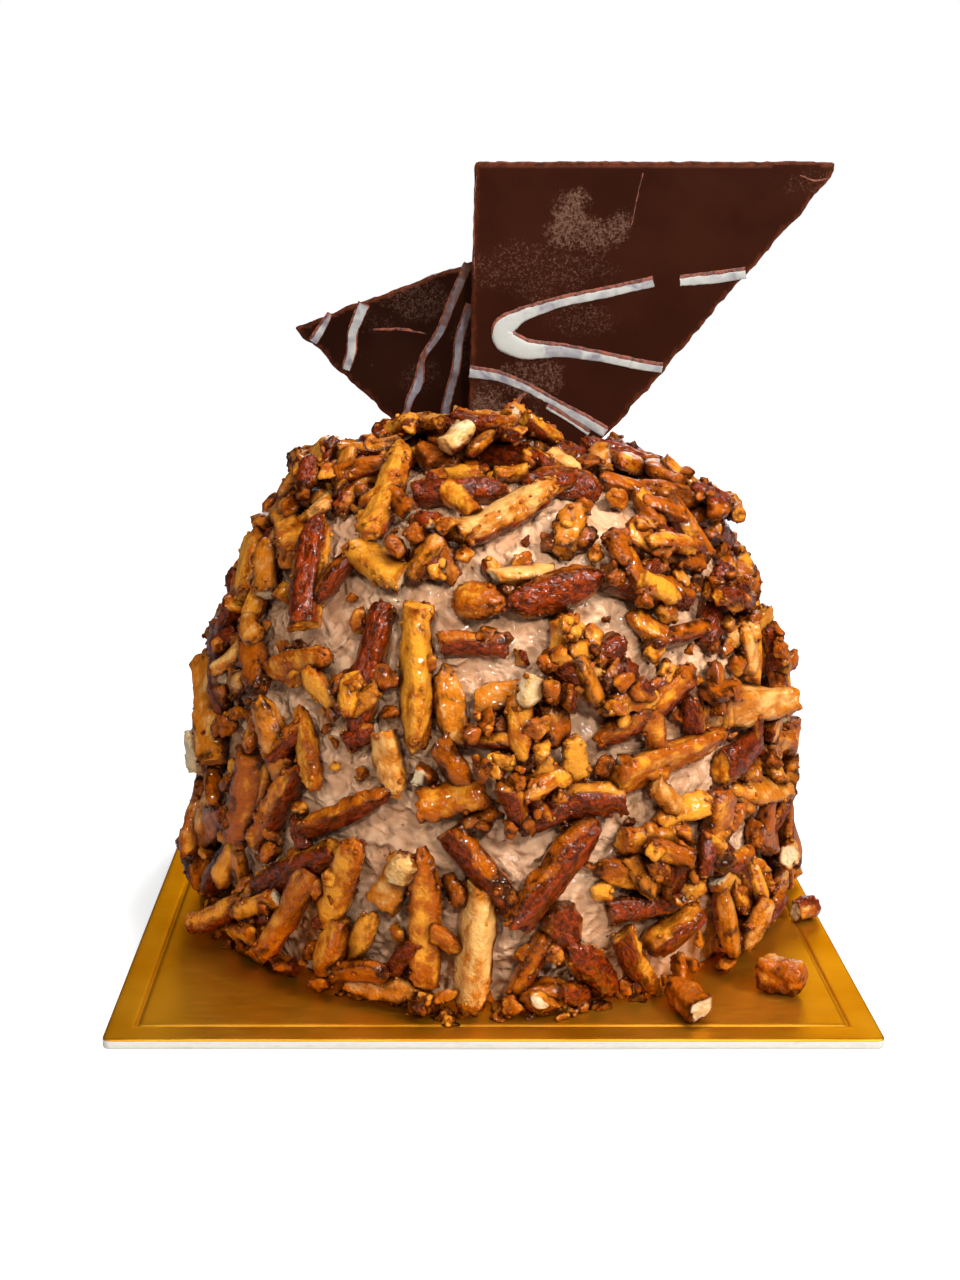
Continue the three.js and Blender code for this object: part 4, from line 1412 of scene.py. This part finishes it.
    def kinds(self) -> Iterator[tuple[str, str, Sequence[Piece], CaramelAlmond]]:
        """Sorts the pieces into kinds.

        Yields:
            A kind's name, its store of shapes, its pieces and its finish.
        """
        finishes = {
            Look.GOLDEN: CaramelAlmond("caramel_almond_golden"),
            Look.SKIN: CaramelAlmond("caramel_almond_skin", glaze=0.1),
            Look.HALF: CaramelAlmond("caramel_almond_half", glaze=0.05),
            Look.PALE: CaramelAlmond("caramel_almond_pale", flesh="#f7b866", amber="#cf7414", glaze=0.05),
            Look.FRESH: CaramelAlmond("fresh_cut_almond", "#fde0ae", "#eab065", "#7a3a08", glaze=-0.1),
        }
        for look, finish in finishes.items():
            same = [p for p in self.slivers if p.look is look]
            yield f"slivers_{look.value}", "long", [p for p in same if p.length >= self.long_length], finish
            yield f"short_slivers_{look.value}", "short", [p for p in same if p.length < self.long_length], finish
            chips = [p for p in self.cuts[Cut.CHIP] if p.look is look]
            yield f"chips_{look.value}", "chip", chips, finish
        crumbly = CaramelAlmond("caramel_almond_bits", glaze=0.04)
        yield "bits", "bit", self.cuts[Cut.BIT], crumbly
        yield "crumbs", "crumb", self.cuts[Cut.CRUMB], crumbly

    def dress(self) -> None:
        """Makes every almond piece on the dome, one for each kind, and puts it in the scene."""
        stores = self.stores()
        materials: dict[str, Material] = {}
        made = []
        for name, store, pieces, finish in self.kinds():
            if not pieces:
                continue
            if finish.name not in materials:
                materials[finish.name] = finish.build()
            rule = self.laying_rule(f"lay_{name}", stores[store], materials[finish.name])
            spots = self.points(f"spots_{name}", pieces, len(stores[store].objects))
            made.append(rule.run(spots, f"almond_{name}"))
        ground, copies = bpy.data.meshes.new("granule_ground"), bmesh.new()
        for piece in made:
            copies.from_mesh(piece.data)
        copies.to_mesh(ground)
        copies.free()
        joined = bpy.data.objects.new("granule_ground", ground)
        sugar = CaramelAlmond("caramel_granules", glaze=0.04).build()
        made.append(self.granule_rule(stores["granule"], sugar).run(joined, "caramel_granules"))
        for piece in made:
            self.rest_on_board(piece)
            for mark in ("turned", "size", "shape"):
                if mark in piece.data.attributes:
                    piece.data.attributes.remove(piece.data.attributes[mark])
            show(piece, "caramel_almond", "almond_cake")


@dataclass
class CreamDome:
    """The cream under the almonds: swirled, streaked, and raised in lips round what is pressed in."""

    pieces: Sequence[Piece]
    columns: int = 340
    rows: int = 260
    front_bias: float = 0.35
    swell: float = 0.5
    tuck: float = 3.2
    lip_height: float = 1.0
    lip_width: float = 1.3

    def grid(self) -> Surface:
        """Lays out the dome: rings from the top down to the board, closer together at the front.

        Returns:
            The closed surface with the marks lip and free.
        """
        way = np.linspace(0, 2 * pi, self.columns, endpoint=False) - pi
        turns = way - self.front_bias * np.sin(way)
        downs = np.linspace(0, DOME.line[-1, 0], self.rows + 1)[1:]
        radii = np.interp(downs, DOME.line[:, 0], DOME.line[:, 1])
        heights = np.interp(downs, DOME.line[:, 0], DOME.line[:, 2])
        turn, radius = np.meshgrid(turns, radii)
        height = np.repeat(heights[:, None], self.columns, axis=1)
        swell = np.sin(3 * turn + height / 14) + np.sin(5 * turn - height / 9)
        tuck = self.tuck * (1 - smooth_step(height, 0.0, 14.0))
        factor = 1 - (self.swell * (1 + swell) / 2 + tuck) / DOME.radius
        x = np.sin(turn) * radius * factor + DOME.centre_x
        y = -np.cos(turn) * radius * factor
        points = np.stack([x, y, height + BOARD_TOP], axis=-1).reshape(-1, 3)
        top, bottom = [[DOME.centre_x, 0, DOME.height + BOARD_TOP]], [[DOME.centre_x, 0, BOARD_TOP]]
        points = np.vstack([points, top, bottom])
        faces = [(first, *rest[::-1]) for first, *rest in ring_faces(self.rows, self.columns)]
        free = smooth_step(points[:, 2], BOARD_TOP + 0.2, BOARD_TOP + 6)
        return Surface(points, faces, {"lip": self.lips(points), "free": free})

    def lips(self, points: ndarray) -> ndarray:
        """Finds how far the cream rises beside the pieces pressed in it.

        Args:
            points: Points of the cream.

        Returns:
            A height for each point, in metres.
        """
        height = np.zeros(len(points))
        for piece in self.pieces:
            if piece.low > 1.6:
                continue
            offset = points - piece.place.point
            near = np.flatnonzero((offset**2).sum(axis=1) < (piece.length / 2 + 5) ** 2)
            offset = offset[near]
            run = np.clip(offset @ piece.heading, -piece.length * 0.46, piece.length * 0.46)
            gap = norm(offset - run[:, None] * piece.heading, axis=1) - piece.width * 0.42
            lip = np.where(gap > 0, np.exp(-((gap / self.lip_width) ** 2)), 0.7)
            height[near] = np.maximum(height[near], lip)
        ragged = 0.62 + 0.5 * smooth_noise(points, 3.4, 5)
        return height * ragged * self.lip_height * MM

    def relief_rule(self, finish: Material) -> ShapeRule:
        """Builds the rule that swirls the cream and drags spatula ridges through it.

        Args:
            finish: The cream's finish.

        Returns:
            The rule, which reads the marks lip and free.
        """
        rule = ShapeRule("whip_cream")
        add = rule.add
        heights = {n: rule.given(f"{n} Height", h) for n, h in (("Swirl", 0.0026), ("Ridge", 0.0019), ("Curl", 0.0032))}
        lip, free = (add(NAMED, FLOAT, (mark,)) for mark in ("lip", "free"))
        swirls = add(NOISE, {}, {"Scale": per_mm(11.0), "Detail": 1.0, "Distortion": 1.3})
        turned = {"Vector": add("GeometryNodeInputPosition"), "Angle": 0.6}
        drawn = add(VECTOR_MATH, TIMES, (add("ShaderNodeVectorRotate", None, turned), (0.3, 1.0, 0.8)))
        drawn = {"Vector": drawn, "Scale": per_mm(3.4), "Detail": 1.5, "Distortion": 0.8}
        ridges = add(NOISE, None, drawn)
        curls = add(NOISE, {}, {"Scale": per_mm(4.2), "Detail": 2.0, "Distortion": 2.2})
        folded = add(MATH, {"operation": "ABSOLUTE"}, (add(MATH, LESS, (curls, 0.5)),))
        height = add(MATH, TIMES, (add(MATH, LESS, (swirls, 0.9)), heights["Swirl"]))
        ridge = add(MATH, TIMES, (add(MATH, LESS, (ridges, 0.5)), heights["Ridge"]))
        height = add(MATH, PLUS, (height, ridge))
        height = add(MATH, LESS, (height, add(MATH, TIMES, (folded, heights["Curl"]))))
        height = add(MATH, TIMES, (add(MATH, PLUS, (height, lip)), free))
        offset = add(VECTOR_MATH, SCALE, {0: add("GeometryNodeInputNormal"), "Scale": height})
        rule.end(add("GeometryNodeSetPosition", {}, {"Geometry": rule.start, "Offset": offset}), finish)
        return rule

    def dress(self) -> None:
        """Makes the cream and puts it in the scene."""
        rule = self.relief_rule(WhippedCoffeeCream().build())
        piece = rule.run(self.grid().to_object("cream_ground"), "coffee_cream")
        show(piece, "coffee_cream", "almond_cake")


def dress_loose_almonds() -> None:
    """Makes each almond that lies by itself on the board and puts it in the scene."""
    ends = {"almond_sliver_front": (End.ROUND, End.BROKEN), "almond_chip_right": (End.BROKEN, End.BROKEN)}
    material = CaramelAlmond("caramel_almond_loose", flesh="#e8a040", glaze=0.02).build()
    for number, (node, x, y, heading, length, width, height, look) in enumerate(LOOSE_ALMONDS):
        shape = SliverForm(1.6, ends.get(node, (End.ROUND, End.ROUND)), 34, 40).shape(77 + number)
        turn = Matrix.Rotation(radians(heading), 3, "Z") @ Matrix.Rotation(radians(ROLL[Look(look)]), 3, "X")
        points = (shape.points * np.array([length, width, height])) @ np.array(turn).T
        points = points + np.array([x, y, BOARD_TOP + height * 0.48])
        points = points + 0.4 * smooth_noise(points, 1.1, 9 + number)[:, None]
        points[:, 2] = np.maximum(points[:, 2], BOARD_TOP + 0.06)
        tone = np.full(len(points), (0.345, 0.52, 0.77)[number])
        piece = Surface(points, shape.faces, {**shape.marks, "tone": tone}).to_object(f"loose_{node}")
        piece.data.materials.append(material)
        show(piece, "loose_almond", node)


@dataclass
class ChocolatePlaque:
    """A broken plaque of dark chocolate that stands upright in the cake."""

    node: str
    outline: Rows
    rough_sides: tuple[int, ...]
    y: float
    turn: float
    lines: tuple[Rows, ...]
    scuffs: tuple[Rows, ...]
    blooms: Rows
    thickness: float = 3.0
    spacing: float = 0.75
    bevel: float = 0.4
    seed: int = 3

    def border(self) -> ndarray:
        """Walks round the outline with small steps, its broken sides uneven and its corners dulled.

        Returns:
            Points (x, z), anticlockwise.
        """
        corners = np.array(self.outline)
        points, rough = [], []
        for side, (start, end) in enumerate(zip(corners, np.roll(corners, -1, axis=0), strict=True)):
            steps = max(int(norm(end - start) / self.spacing), 2)
            share = np.linspace(0, 1, steps, endpoint=False)[:, None]
            points.append(start + (end - start) * share)
            rough.append(np.full(steps, 0.3 if side in self.rough_sides else 0.1))
        line, rough = np.vstack(points), np.concatenate(rough)
        line = rounded(rounded(line))
        inward = self.inward(line)
        flat = np.column_stack([line, np.zeros(len(line))])
        wave = smooth_noise(flat, 3.1, self.seed) + 0.6 * smooth_noise(flat, 1.2, self.seed + 1)
        return line + inward * (rough * (0.6 + wave))[:, None]

    @staticmethod
    def inward(line: ndarray) -> ndarray:
        """The direction into the plaque at each point of its border."""
        along = np.roll(line, -1, axis=0) - np.roll(line, 1, axis=0)
        along = along / norm(along, axis=1)[:, None]
        return np.column_stack([-along[:, 1], along[:, 0]])

    def face_net(self, border: ndarray) -> tuple[ndarray, list[tuple[int, ...]]]:
        """Covers the inside of a border with small triangles.

        Args:
            border: The border, anticlockwise.

        Returns:
            Points, those of the border first, and triangles.
        """
        low, high = border.min(axis=0), border.max(axis=0)
        xs, zs = np.arange(low[0], high[0], self.spacing), np.arange(low[1], high[1], self.spacing)
        grid = np.stack(np.meshgrid(xs, zs), axis=-1).reshape(-1, 2)
        grid[:, 0] += 0.5 * self.spacing * (np.round((grid[:, 1] - low[1]) / self.spacing) % 2)
        gaps = norm(grid[:, None] - border[None], axis=-1).min(axis=1)
        start, end = border, np.roll(border, -1, axis=0)
        over = (start[None, :, 1] > grid[:, None, 1]) != (end[None, :, 1] > grid[:, None, 1])
        rise = np.where(end[:, 1] == start[:, 1], 1e-9, end[:, 1] - start[:, 1])
        cross = start[None, :, 0] + (grid[:, None, 1] - start[None, :, 1]) * ((end - start)[:, 0] / rise)[None]
        inside = (over & (grid[:, None, 0] < cross)).sum(axis=1) % 2 == 1
        inner = grid[inside & (gaps > 0.55 * self.spacing)]
        every = np.vstack([border, inner])
        ring = [(i, (i + 1) % len(border)) for i in range(len(border))]
        found = delaunay_2d_cdt([Vector(p) for p in every], ring, [list(range(len(border)))], 1, 1e-6)
        return np.array([tuple(v) for v in found[0]]), [tuple(f) for f in found[2]]

    def slab(self) -> Surface:
        """Makes the plaque, upright in its own plane.

        Returns:
            The closed surface with the marks bloom and edge.
        """
        border = self.border()
        inner = border + self.inward(border) * self.bevel
        net, triangles = self.face_net(inner)
        count, half = len(border), self.thickness / 2
        depths = [(border, -half + self.bevel), (border, 0.0), (border, half - self.bevel)]
        rings = []
        for number, (line, depth) in enumerate(depths):
            place = np.column_stack([line[:, 0], np.full(count, depth), line[:, 1]])
            rough = 0.12 * smooth_noise(place, 1.1, self.seed + 20 + number)
            flat = line + self.inward(line) * rough[:, None]
            rings.append(np.column_stack([flat[:, 0], np.full(count, depth), flat[:, 1]]))
        plane = np.column_stack([net, np.zeros(len(net))])
        wave = 0.1 * smooth_noise(plane, 14, self.seed + 2) + 0.03 * smooth_noise(plane, 4, self.seed + 3)
        front = np.column_stack([net[:, 0], -half + np.abs(wave), net[:, 1]])
        back = np.column_stack([net[:, 0], half - np.abs(wave), net[:, 1]])
        points = np.vstack([front, *rings, back])
        starts = [0, len(net), len(net) + count, len(net) + 2 * count, len(net) + 3 * count]
        faces = [tuple(f) for f in triangles]
        faces += [tuple(starts[4] + i for i in reversed(f)) for f in triangles]
        for upper, lower in pairwise(starts):
            for j in range(count):
                k = (j + 1) % count
                faces.append((upper + k, upper + j, lower + j, lower + k))
        edge = np.ones(len(points))
        rim = norm(net[:, None] - inner[None], axis=-1).min(axis=1)
        edge[: len(net)] = edge[starts[4] :] = 0.55 * np.exp(-((rim / 0.3) ** 2))
        bloom = np.zeros(len(points))
        for x, z, reach_x, reach_z, strength in self.blooms:
            away = np.hypot((points[:, 0] - x) / reach_x, (points[:, 2] - z) / reach_z)
            away = away + 0.4 * smooth_noise(points, 3.5, self.seed + 8) + 0.2 * smooth_noise(points, 1.3, self.seed)
            bloom = np.maximum(bloom, strength * (1 - smooth_step(away, 0.55, 1.15)))
        return Surface(points, faces, {"bloom": bloom, "edge": edge})

    def line_rule(self, name: str, finish: Material, flatness: float) -> ShapeRule:
        """Builds the rule that draws a flat, slightly uneven line along a path.

        Args:
            name: The tree's name.
            finish: The finish of the line.
            flatness: Its height as a share of its half width.

        Returns:
            The rule, which reads the mark half_width.
        """
        rule = ShapeRule(name)
        add = rule.add
        step = rule.given("Step", 0.0004)
        sides = rule.given("Sides", 14)
        flat = rule.given("Flatness", flatness)
        level = rule.given("Face Depth", -self.thickness / 2 * MM)
        curve = add("GeometryNodeMeshToCurve", {}, (rule.start,))
        even = add("GeometryNodeResampleCurve", {"mode": "LENGTH"}, {"Curve": curve, "Length": step})
        ring = add("GeometryNodeCurvePrimitiveCircle", {}, {"Resolution": sides, "Radius": 1.0})
        half_width = add(NAMED, FLOAT, ("half_width",))
        links = {"Curve": even, "Profile Curve": ring, "Scale": half_width, "Fill Caps": True}
        tube = add("GeometryNodeCurveToMesh", None, links)
        wave = add(NOISE, {}, {"Scale": per_mm(1.3), "Detail": 1.0}, "Color")
        shift = add(VECTOR_MATH, LESS, (wave, (0.5, 0.5, 0.5)))
        shift = add(VECTOR_MATH, TIMES, (shift, (0.0004, 0.0, 0.0004)))
        parts = add("ShaderNodeSeparateXYZ", {}, (add("GeometryNodeInputPosition"),)).node.outputs
        above = add(MATH, TIMES, (add(MATH, LESS, (parts[1], level)), flat))
        links = (parts[0], add(MATH, PLUS, (above, level)), parts[2])
        where = add("ShaderNodeCombineXYZ", None, links)
        links = {"Geometry": tube, "Position": where, "Offset": shift}
        rule.end(add("GeometryNodeSetPosition", None, links), finish)
        return rule

    def path(self, name: str, strokes: Sequence[Rows], widening: float, rise: float) -> Object:
        """Makes the paths of some strokes as edges, smoothed between their rows.

        Args:
            name: The object's name.
            strokes: The strokes: rows of x, z, half width and milkiness.
            widening: What their half width gains.
            rise: How far they are moved up.

        Returns:
            The object, not in the scene.
        """
        points, edges, marks = [], [], []
        for stroke in strokes:
            rows = np.array(stroke)
            way = np.concatenate([[0], np.cumsum(norm(np.diff(rows[:, :2], axis=0), axis=1))])
            at = np.linspace(0, way[-1], max(int(way[-1] / 0.5), 4))
            line = np.column_stack([np.interp(at, way, rows[:, k]) for k in range(4)])
            for _ in range(6):
                line[1:-1] = 0.25 * line[:-2] + 0.5 * line[1:-1] + 0.25 * line[2:]
            first = len(points)
            points += [(x, -self.thickness / 2, z + rise) for x, z, _, _ in line]
            marks += [((w + widening) * MM, milk) for _, _, w, milk in line]
            edges += [(i, i + 1) for i in range(first, len(points) - 1)]
        half_width, milk = np.array(marks).T
        marks = {"half_width": half_width, "milk": milk}
        return Surface(np.array(points), [], marks, edges=edges).to_object(name)

    def dress(self, chocolate: Material, white: Material, scuffed: Material) -> None:
        """Makes the plaque with its lines and puts it in the scene.

        Args:
            chocolate: The finish of the slab.
            white: The finish of the white lines.
            scuffed: The finish of rims and rubbed lines.
        """
        slab = self.slab()
        turned = np.array(Matrix.Rotation(radians(self.turn), 3, "Z")).T
        slab.points = slab.points @ turned + np.array([0, self.y, BOARD_TOP])
        piece = slab.to_object(f"{self.node}_chocolate")
        piece.data.materials.append(chocolate)
        show(piece, "dark_chocolate", self.node)
        turn = Matrix.Translation((0, self.y * MM, BOARD_TOP * MM)) @ Matrix.Rotation(radians(self.turn), 4, "Z")
        plans = (
            ("white_lines", self.lines, 0.0, 0.0, 0.14, white), ("line_rims", self.lines, 0.22, 0.3, 0.08, scuffed),
            ("rubbed_lines", self.scuffs, 0.0, 0.0, 0.1, scuffed),
        )
        for name, strokes, widening, rise, flatness, finish in plans:
            if strokes:
                title = f"{self.node}_{name}"
                rule = self.line_rule(f"draw_{title}", finish, flatness)
                drawn = rule.run(self.path(title, strokes, widening, rise), title)
                drawn.data.transform(turn)
                drawn.data.update()
                show(drawn, "dark_chocolate")


# White lines and rubbed lines on the plaques' faces: rows of x, z, half width and milkiness.
FRONT_LINES = (
    ((51.6, 131.1, 0.95, 0.3), (46, 130.3, 1, 0.35), (38.6, 129.6, 0.85, 0.3)),
    (
        (33.3, 129.4, 0.85, 0.3), (23.2, 127.2, 0.9, 0.3), (15, 125.6, 0.9, 0.25), (7.5, 123.2, 1.2, 0.4),
        (3.2, 120.6, 2.2, 0.9), (3.4, 117.9, 2.3, 1), (8, 116, 1.9, 0.6), (15.2, 115.9, 1.15, 0),
        (23.5, 114.6, 0.85, 0.3), (30.8, 113, 0.85, 0.35), (35.6, 112.3, 0.8, 0.4),
    ),
    (
        (-3.3, 111.6, 1, 0.3), (2.4, 110.8, 0.9, 0.1), (7.7, 108.8, 0.75, 0.3), (14.4, 105.2, 0.6, 0.3),
        (20.8, 101.5, 1, 0.1), (24.4, 99.4, 0.9, 0.4),
    ),
    ((12.4, 104.6, 0.35, 0.5), (17, 102, 0.3, 0.5), (21, 99.2, 0.4, 0.6)),
    ((-3.2, 96.8, 0.6, 0.3), (2.5, 96, 0.5, 0.2), (5, 95, 0.4, 0)),
)
FRONT_SCUFFS = (
    ((0, 101.1, 0.2, 0), (3.9, 102.1, 0.6, 0), (6, 104.6, 0.7, 0), (7.1, 107.2, 0.35, 0), (8.4, 107.4, 0.2, 0)),
    ((30.6, 150.6, 0.12, 0), (29.6, 146, 0.1, 0), (28.6, 140.6, 0.08, 0)),
    ((-2.2, 150, 0.1, 0), (-2.6, 141, 0.09, 0), (-2.5, 131, 0.08, 0)),
    ((61.5, 150.2, 0.1, 0), (64.5, 148.9, 0.2, 0), (67.2, 149.6, 0.12, 0)),
)
BACK_LINES = (
    ((-31.8, 122.6, 0.4, 0.1), (-34, 119, 0.8, 0.1), (-35.4, 117, 0.8, 0.1)),
    ((-24.8, 124.6, 1.1, 0.3), (-27.3, 119, 0.95, 0.2), (-27.4, 115, 0.9, 0.4), (-28.6, 111.4, 0.8, 0.1)),
    (
        (-3.4, 132.6, 0.8, -0.5), (-6.8, 125, 0.75, -0.4), (-8.9, 119.4, 0.75, -0.3), (-13, 113.5, 0.4, -0.5),
        (-13.4, 108.8, 1, 0), (-15.5, 105, 0.6, -0.3), (-16.6, 100.6, 0.35, -0.4),
    ),
    (
        (-3, 124.6, 0.7, -0.45), (-5.2, 117.8, 0.85, -0.25), (-5.8, 111.6, 0.75, -0.15), (-8, 103.4, 0.8, -0.3),
        (-8.2, 97.8, 0.7, -0.15),
    ),
)
BACK_SCUFFS = (
    ((-23, 119.6, 0.2, 0), (-17, 119.8, 0.3, 0), (-12, 118.8, 0.12, 0)),
)


# The two plaques, outlined in their own plane and above the board's top.
PLAQUES = (
    ChocolatePlaque(
        node="plaque_front",
        outline=((-3.9, 79), (8.5, 79), (23.4, 97), (68.8, 150.8), (68.6, 152.8), (-2.5, 152.8)),
        rough_sides=(1, 2, 3),
        y=2,
        turn=0,
        lines=FRONT_LINES,
        scuffs=FRONT_SCUFFS,
        blooms=(
            (17, 143.5, 4.5, 5, 0.95), (19, 139, 9, 4.5, 0.8), (26, 140, 4, 4, 0.8), (10, 132, 16, 6, 0.36),
            (19, 122, 8, 4, 0.36), (9, 110, 8, 4.5, 0.6), (1, 103, 5, 7, 0.85), (9, 100, 4, 5, 0.6),
            (64, 149, 6, 3.5, 0.35), (-1, 133, 4, 3, 0.4),
        ),
        seed=3,
    ),
    ChocolatePlaque(
        node="plaque_back",
        outline=((3.5, 80), (9.5, 80), (12.5, 139.3), (-39.8, 120)),
        rough_sides=(0, 2, 3),
        y=9,
        turn=-4,
        lines=BACK_LINES,
        scuffs=BACK_SCUFFS,
        blooms=((-14, 126, 9, 5, 0.55), (-13, 110, 5, 4, 0.4), (-22, 121, 5, 3, 0.3), (-3, 118, 4, 8, 0.4)),
        seed=41,
    ),
)


@dataclass
class CakeBoard:
    """A square of white card with gold foil rolled over its top, and a line pressed inside its edge."""

    side: float = 140.0
    corner: float = 1.5
    line_inset: float = 5.5
    per_side: int = 90
    per_corner: int = 6

    # Inset from the edge and height above the table, from the middle of the underside to the top.
    profile: Rows = (
        (40, 0), (1, 0), (0.3, 0), (0.08, 0.08), (0, 0.25), (0, 0.8), (0, 1.35), (0, 1.62), (0.02, 1.78), (0.1, 1.9),
        (0.28, 1.97), (0.6, 2), (1.5, 2), (3, 2), (4.4, 2), (4.85, 1.98), (5.1, 1.9), (5.32, 1.74), (5.5, 1.68),
        (5.68, 1.74), (5.9, 1.9), (6.15, 1.98), (6.6, 2), (8, 2), (10, 2), (13, 2), (17, 2), (22, 2), (28, 2),
        (36, 2), (46, 2), (58, 2),
    )
    foil_from: int = 7

    def ring(self, inset: float) -> ndarray:
        """Walks round a rounded square.

        Args:
            inset: How far inside the board's edge it runs.

        Returns:
            Points (x, y), anticlockwise.
        """
        half = self.side / 2 - inset
        radius = min(max(self.corner - inset, 0.25), half * 0.5)
        points = []
        for quarter in range(4):
            turn = quarter * pi / 2
            angles = turn + np.linspace(0, pi / 2, self.per_corner)
            middle = np.array([math.cos(turn + pi / 4), math.sin(turn + pi / 4)]) * sqrt(2)
            middle = middle * (half - radius)
            arc = middle + radius * np.column_stack([np.cos(angles), np.sin(angles)])
            points.append(arc)
            start = arc[-1]
            along = np.array([-math.sin(turn + pi / 2), math.cos(turn + pi / 2)])
            gap = 2 * (half - radius)
            share = np.linspace(0, 1, self.per_side + 2)[1:-1, None]
            points.append(start + along * gap * share)
        return np.vstack(points)

    def dress(self) -> None:
        """Makes the board, rings up its edge and in over its top, card first and foil second."""
        rings = []
        for inset, height in self.profile:
            line = self.ring(inset)
            rings.append(np.column_stack([line, np.full(len(line), height)]))
        count = len(rings[0])
        points = np.vstack([*rings, [[0, 0, 0]], [[0, 0, 2.0]]])
        top = smooth_step(points[:, 2], 1.6, 1.98)
        wave = 0.05 * smooth_noise(points, 23, 4) + 0.02 * smooth_noise(points, 7, 6)
        points[:, 2] -= top * (np.abs(wave) + 0.01)
        slots = np.append(np.repeat(np.arange(len(rings) - 1) >= self.foil_from, count), [0, 1] * count)
        piece = Surface(points, list(ring_faces(len(rings), count)), {}, slots).to_object("gold_cake_board")
        piece.data.materials.append(WhiteCard().build())
        piece.data.materials.append(GoldFoil().build())
        show(piece, "gold_board", "cake_board")


# --- studio


@dataclass(frozen=True)
class SoftLight:
    """A square softbox aimed at the cake: its place and side in millimetres, and the light that it gives."""

    name: str
    place: tuple[float, float, float]
    side: float
    share: float

    def add(self) -> None:
        """Puts the light in the scene."""
        lamp = bpy.data.lights.new(self.name, "AREA")
        lamp.shape = "SQUARE"
        lamp.size = self.side * MM
        away = (Vector(self.place) - Vector((0, 0, 60))) * MM
        lamp.energy = self.share * pi**2 * away.length_squared
        holder = bpy.data.objects.new(self.name, lamp)
        holder.visible_camera = False
        holder.location = Vector(self.place) * MM
        holder.rotation_mode = "QUATERNION"
        holder.rotation_quaternion = away.to_track_quat("Z", "Y")
        scene.collection.objects.link(holder)


@dataclass(frozen=True)
class Studio:
    """White paper, soft light from above and the right, and the camera at the photograph's place."""

    camera_place: tuple[float, float, float] = (-11.8, -356.3, 146.0)
    pitch_down: float = 13.86
    lens: float = 49.3
    shift: float = 0.041
    sky: float = 0.045
    lights: tuple[SoftLight, ...] = (
        SoftLight("key_right", (540, -480, 540), 300, 0.56), SoftLight("spark_middle", (140, -640, 420), 56, 0.34),
        SoftLight("spark_left", (-180, -600, 560), 56, 0.22), SoftLight("spark_right", (440, -300, 620), 56, 0.38),
        SoftLight("top", (60, -60, 700), 300, 0.34), SoftLight("fill_left", (-560, -520, 260), 300, 0.11),
        SoftLight("back", (110, 850, 190), 620, 0.38),
    )

    def dress(self) -> None:
        """Makes the paper, the lights, the sky and the camera."""
        paper = Surface(
            4000.0 * np.array([(-1, -1, 0), (1, -1, 0), (1, 1, 0), (-1, 1, 0)]), [(0, 1, 2, 3)]
        ).to_object("paper")
        paper.data.materials.append(StudioPaper().build())
        scene.collection.objects.link(paper)
        for light in self.lights:
            light.add()
        self.set_sky()
        self.set_camera()
        view = scene.view_settings
        view.view_transform = "Standard"
        view.look = "None"

    def set_sky(self) -> None:
        """Makes an even sky that is seen white behind the paper."""
        world = bpy.data.worlds.new("studio_sky")
        world.use_nodes = True
        world.node_tree.nodes.clear()
        add = partial(add_node, world.node_tree)
        seen = add("ShaderNodeLightPath", out="Is Camera Ray")
        strength = add(RANGE, {}, {0: seen, 3: self.sky, 4: 1.0})
        glow = add("ShaderNodeBackground", {}, {"Color": "#ffffff", "Strength": strength})
        add("ShaderNodeOutputWorld", {}, {"Surface": glow})
        scene.world = world

    def set_camera(self) -> None:
        """Puts the camera at the photograph's viewing angle, with only the shift its framing needs."""
        lens = bpy.data.cameras.new("camera")
        lens.lens = self.lens
        lens.sensor_width = 36
        lens.shift_x = self.shift
        camera = bpy.data.objects.new("camera", lens)
        camera.location = Vector(self.camera_place) * MM
        camera.rotation_euler = (radians(90 - self.pitch_down), 0, 0)
        scene.collection.objects.link(camera)
        scene.camera = camera


def main() -> None:
    """Builds the cake from the board up, then the studio."""
    logging.basicConfig(level=logging.INFO, format="%(message)s")
    CakeBoard().dress()
    layout = AlmondLayout()
    slivers = tuple(layout.pieces)
    bits = BitLayout(layout)
    bits.lay_all()
    log.info("laid: %d slivers, %s", len(slivers), {cut.value: len(laid) for cut, laid in bits.laid.items()})
    CreamDome(layout.pieces).dress()
    AlmondCover(slivers, bits.laid).dress()
    dress_loose_almonds()
    white, scuffed = WhiteChocolateLine().build(), ScuffedChocolate().build()
    # The back plaque's chocolate is the front's made darker: painted shade.
    back = DarkChocolate("dark_chocolate_back_painted_shade", face="#1c0a06", light="#251009", dust="#6a4e40")
    for plaque, chocolate in zip(PLAQUES, (DarkChocolate(), back), strict=True):
        plaque.dress(chocolate.build(), white, scuffed)
    Studio().dress()


if __name__ == "__main__":
    main()
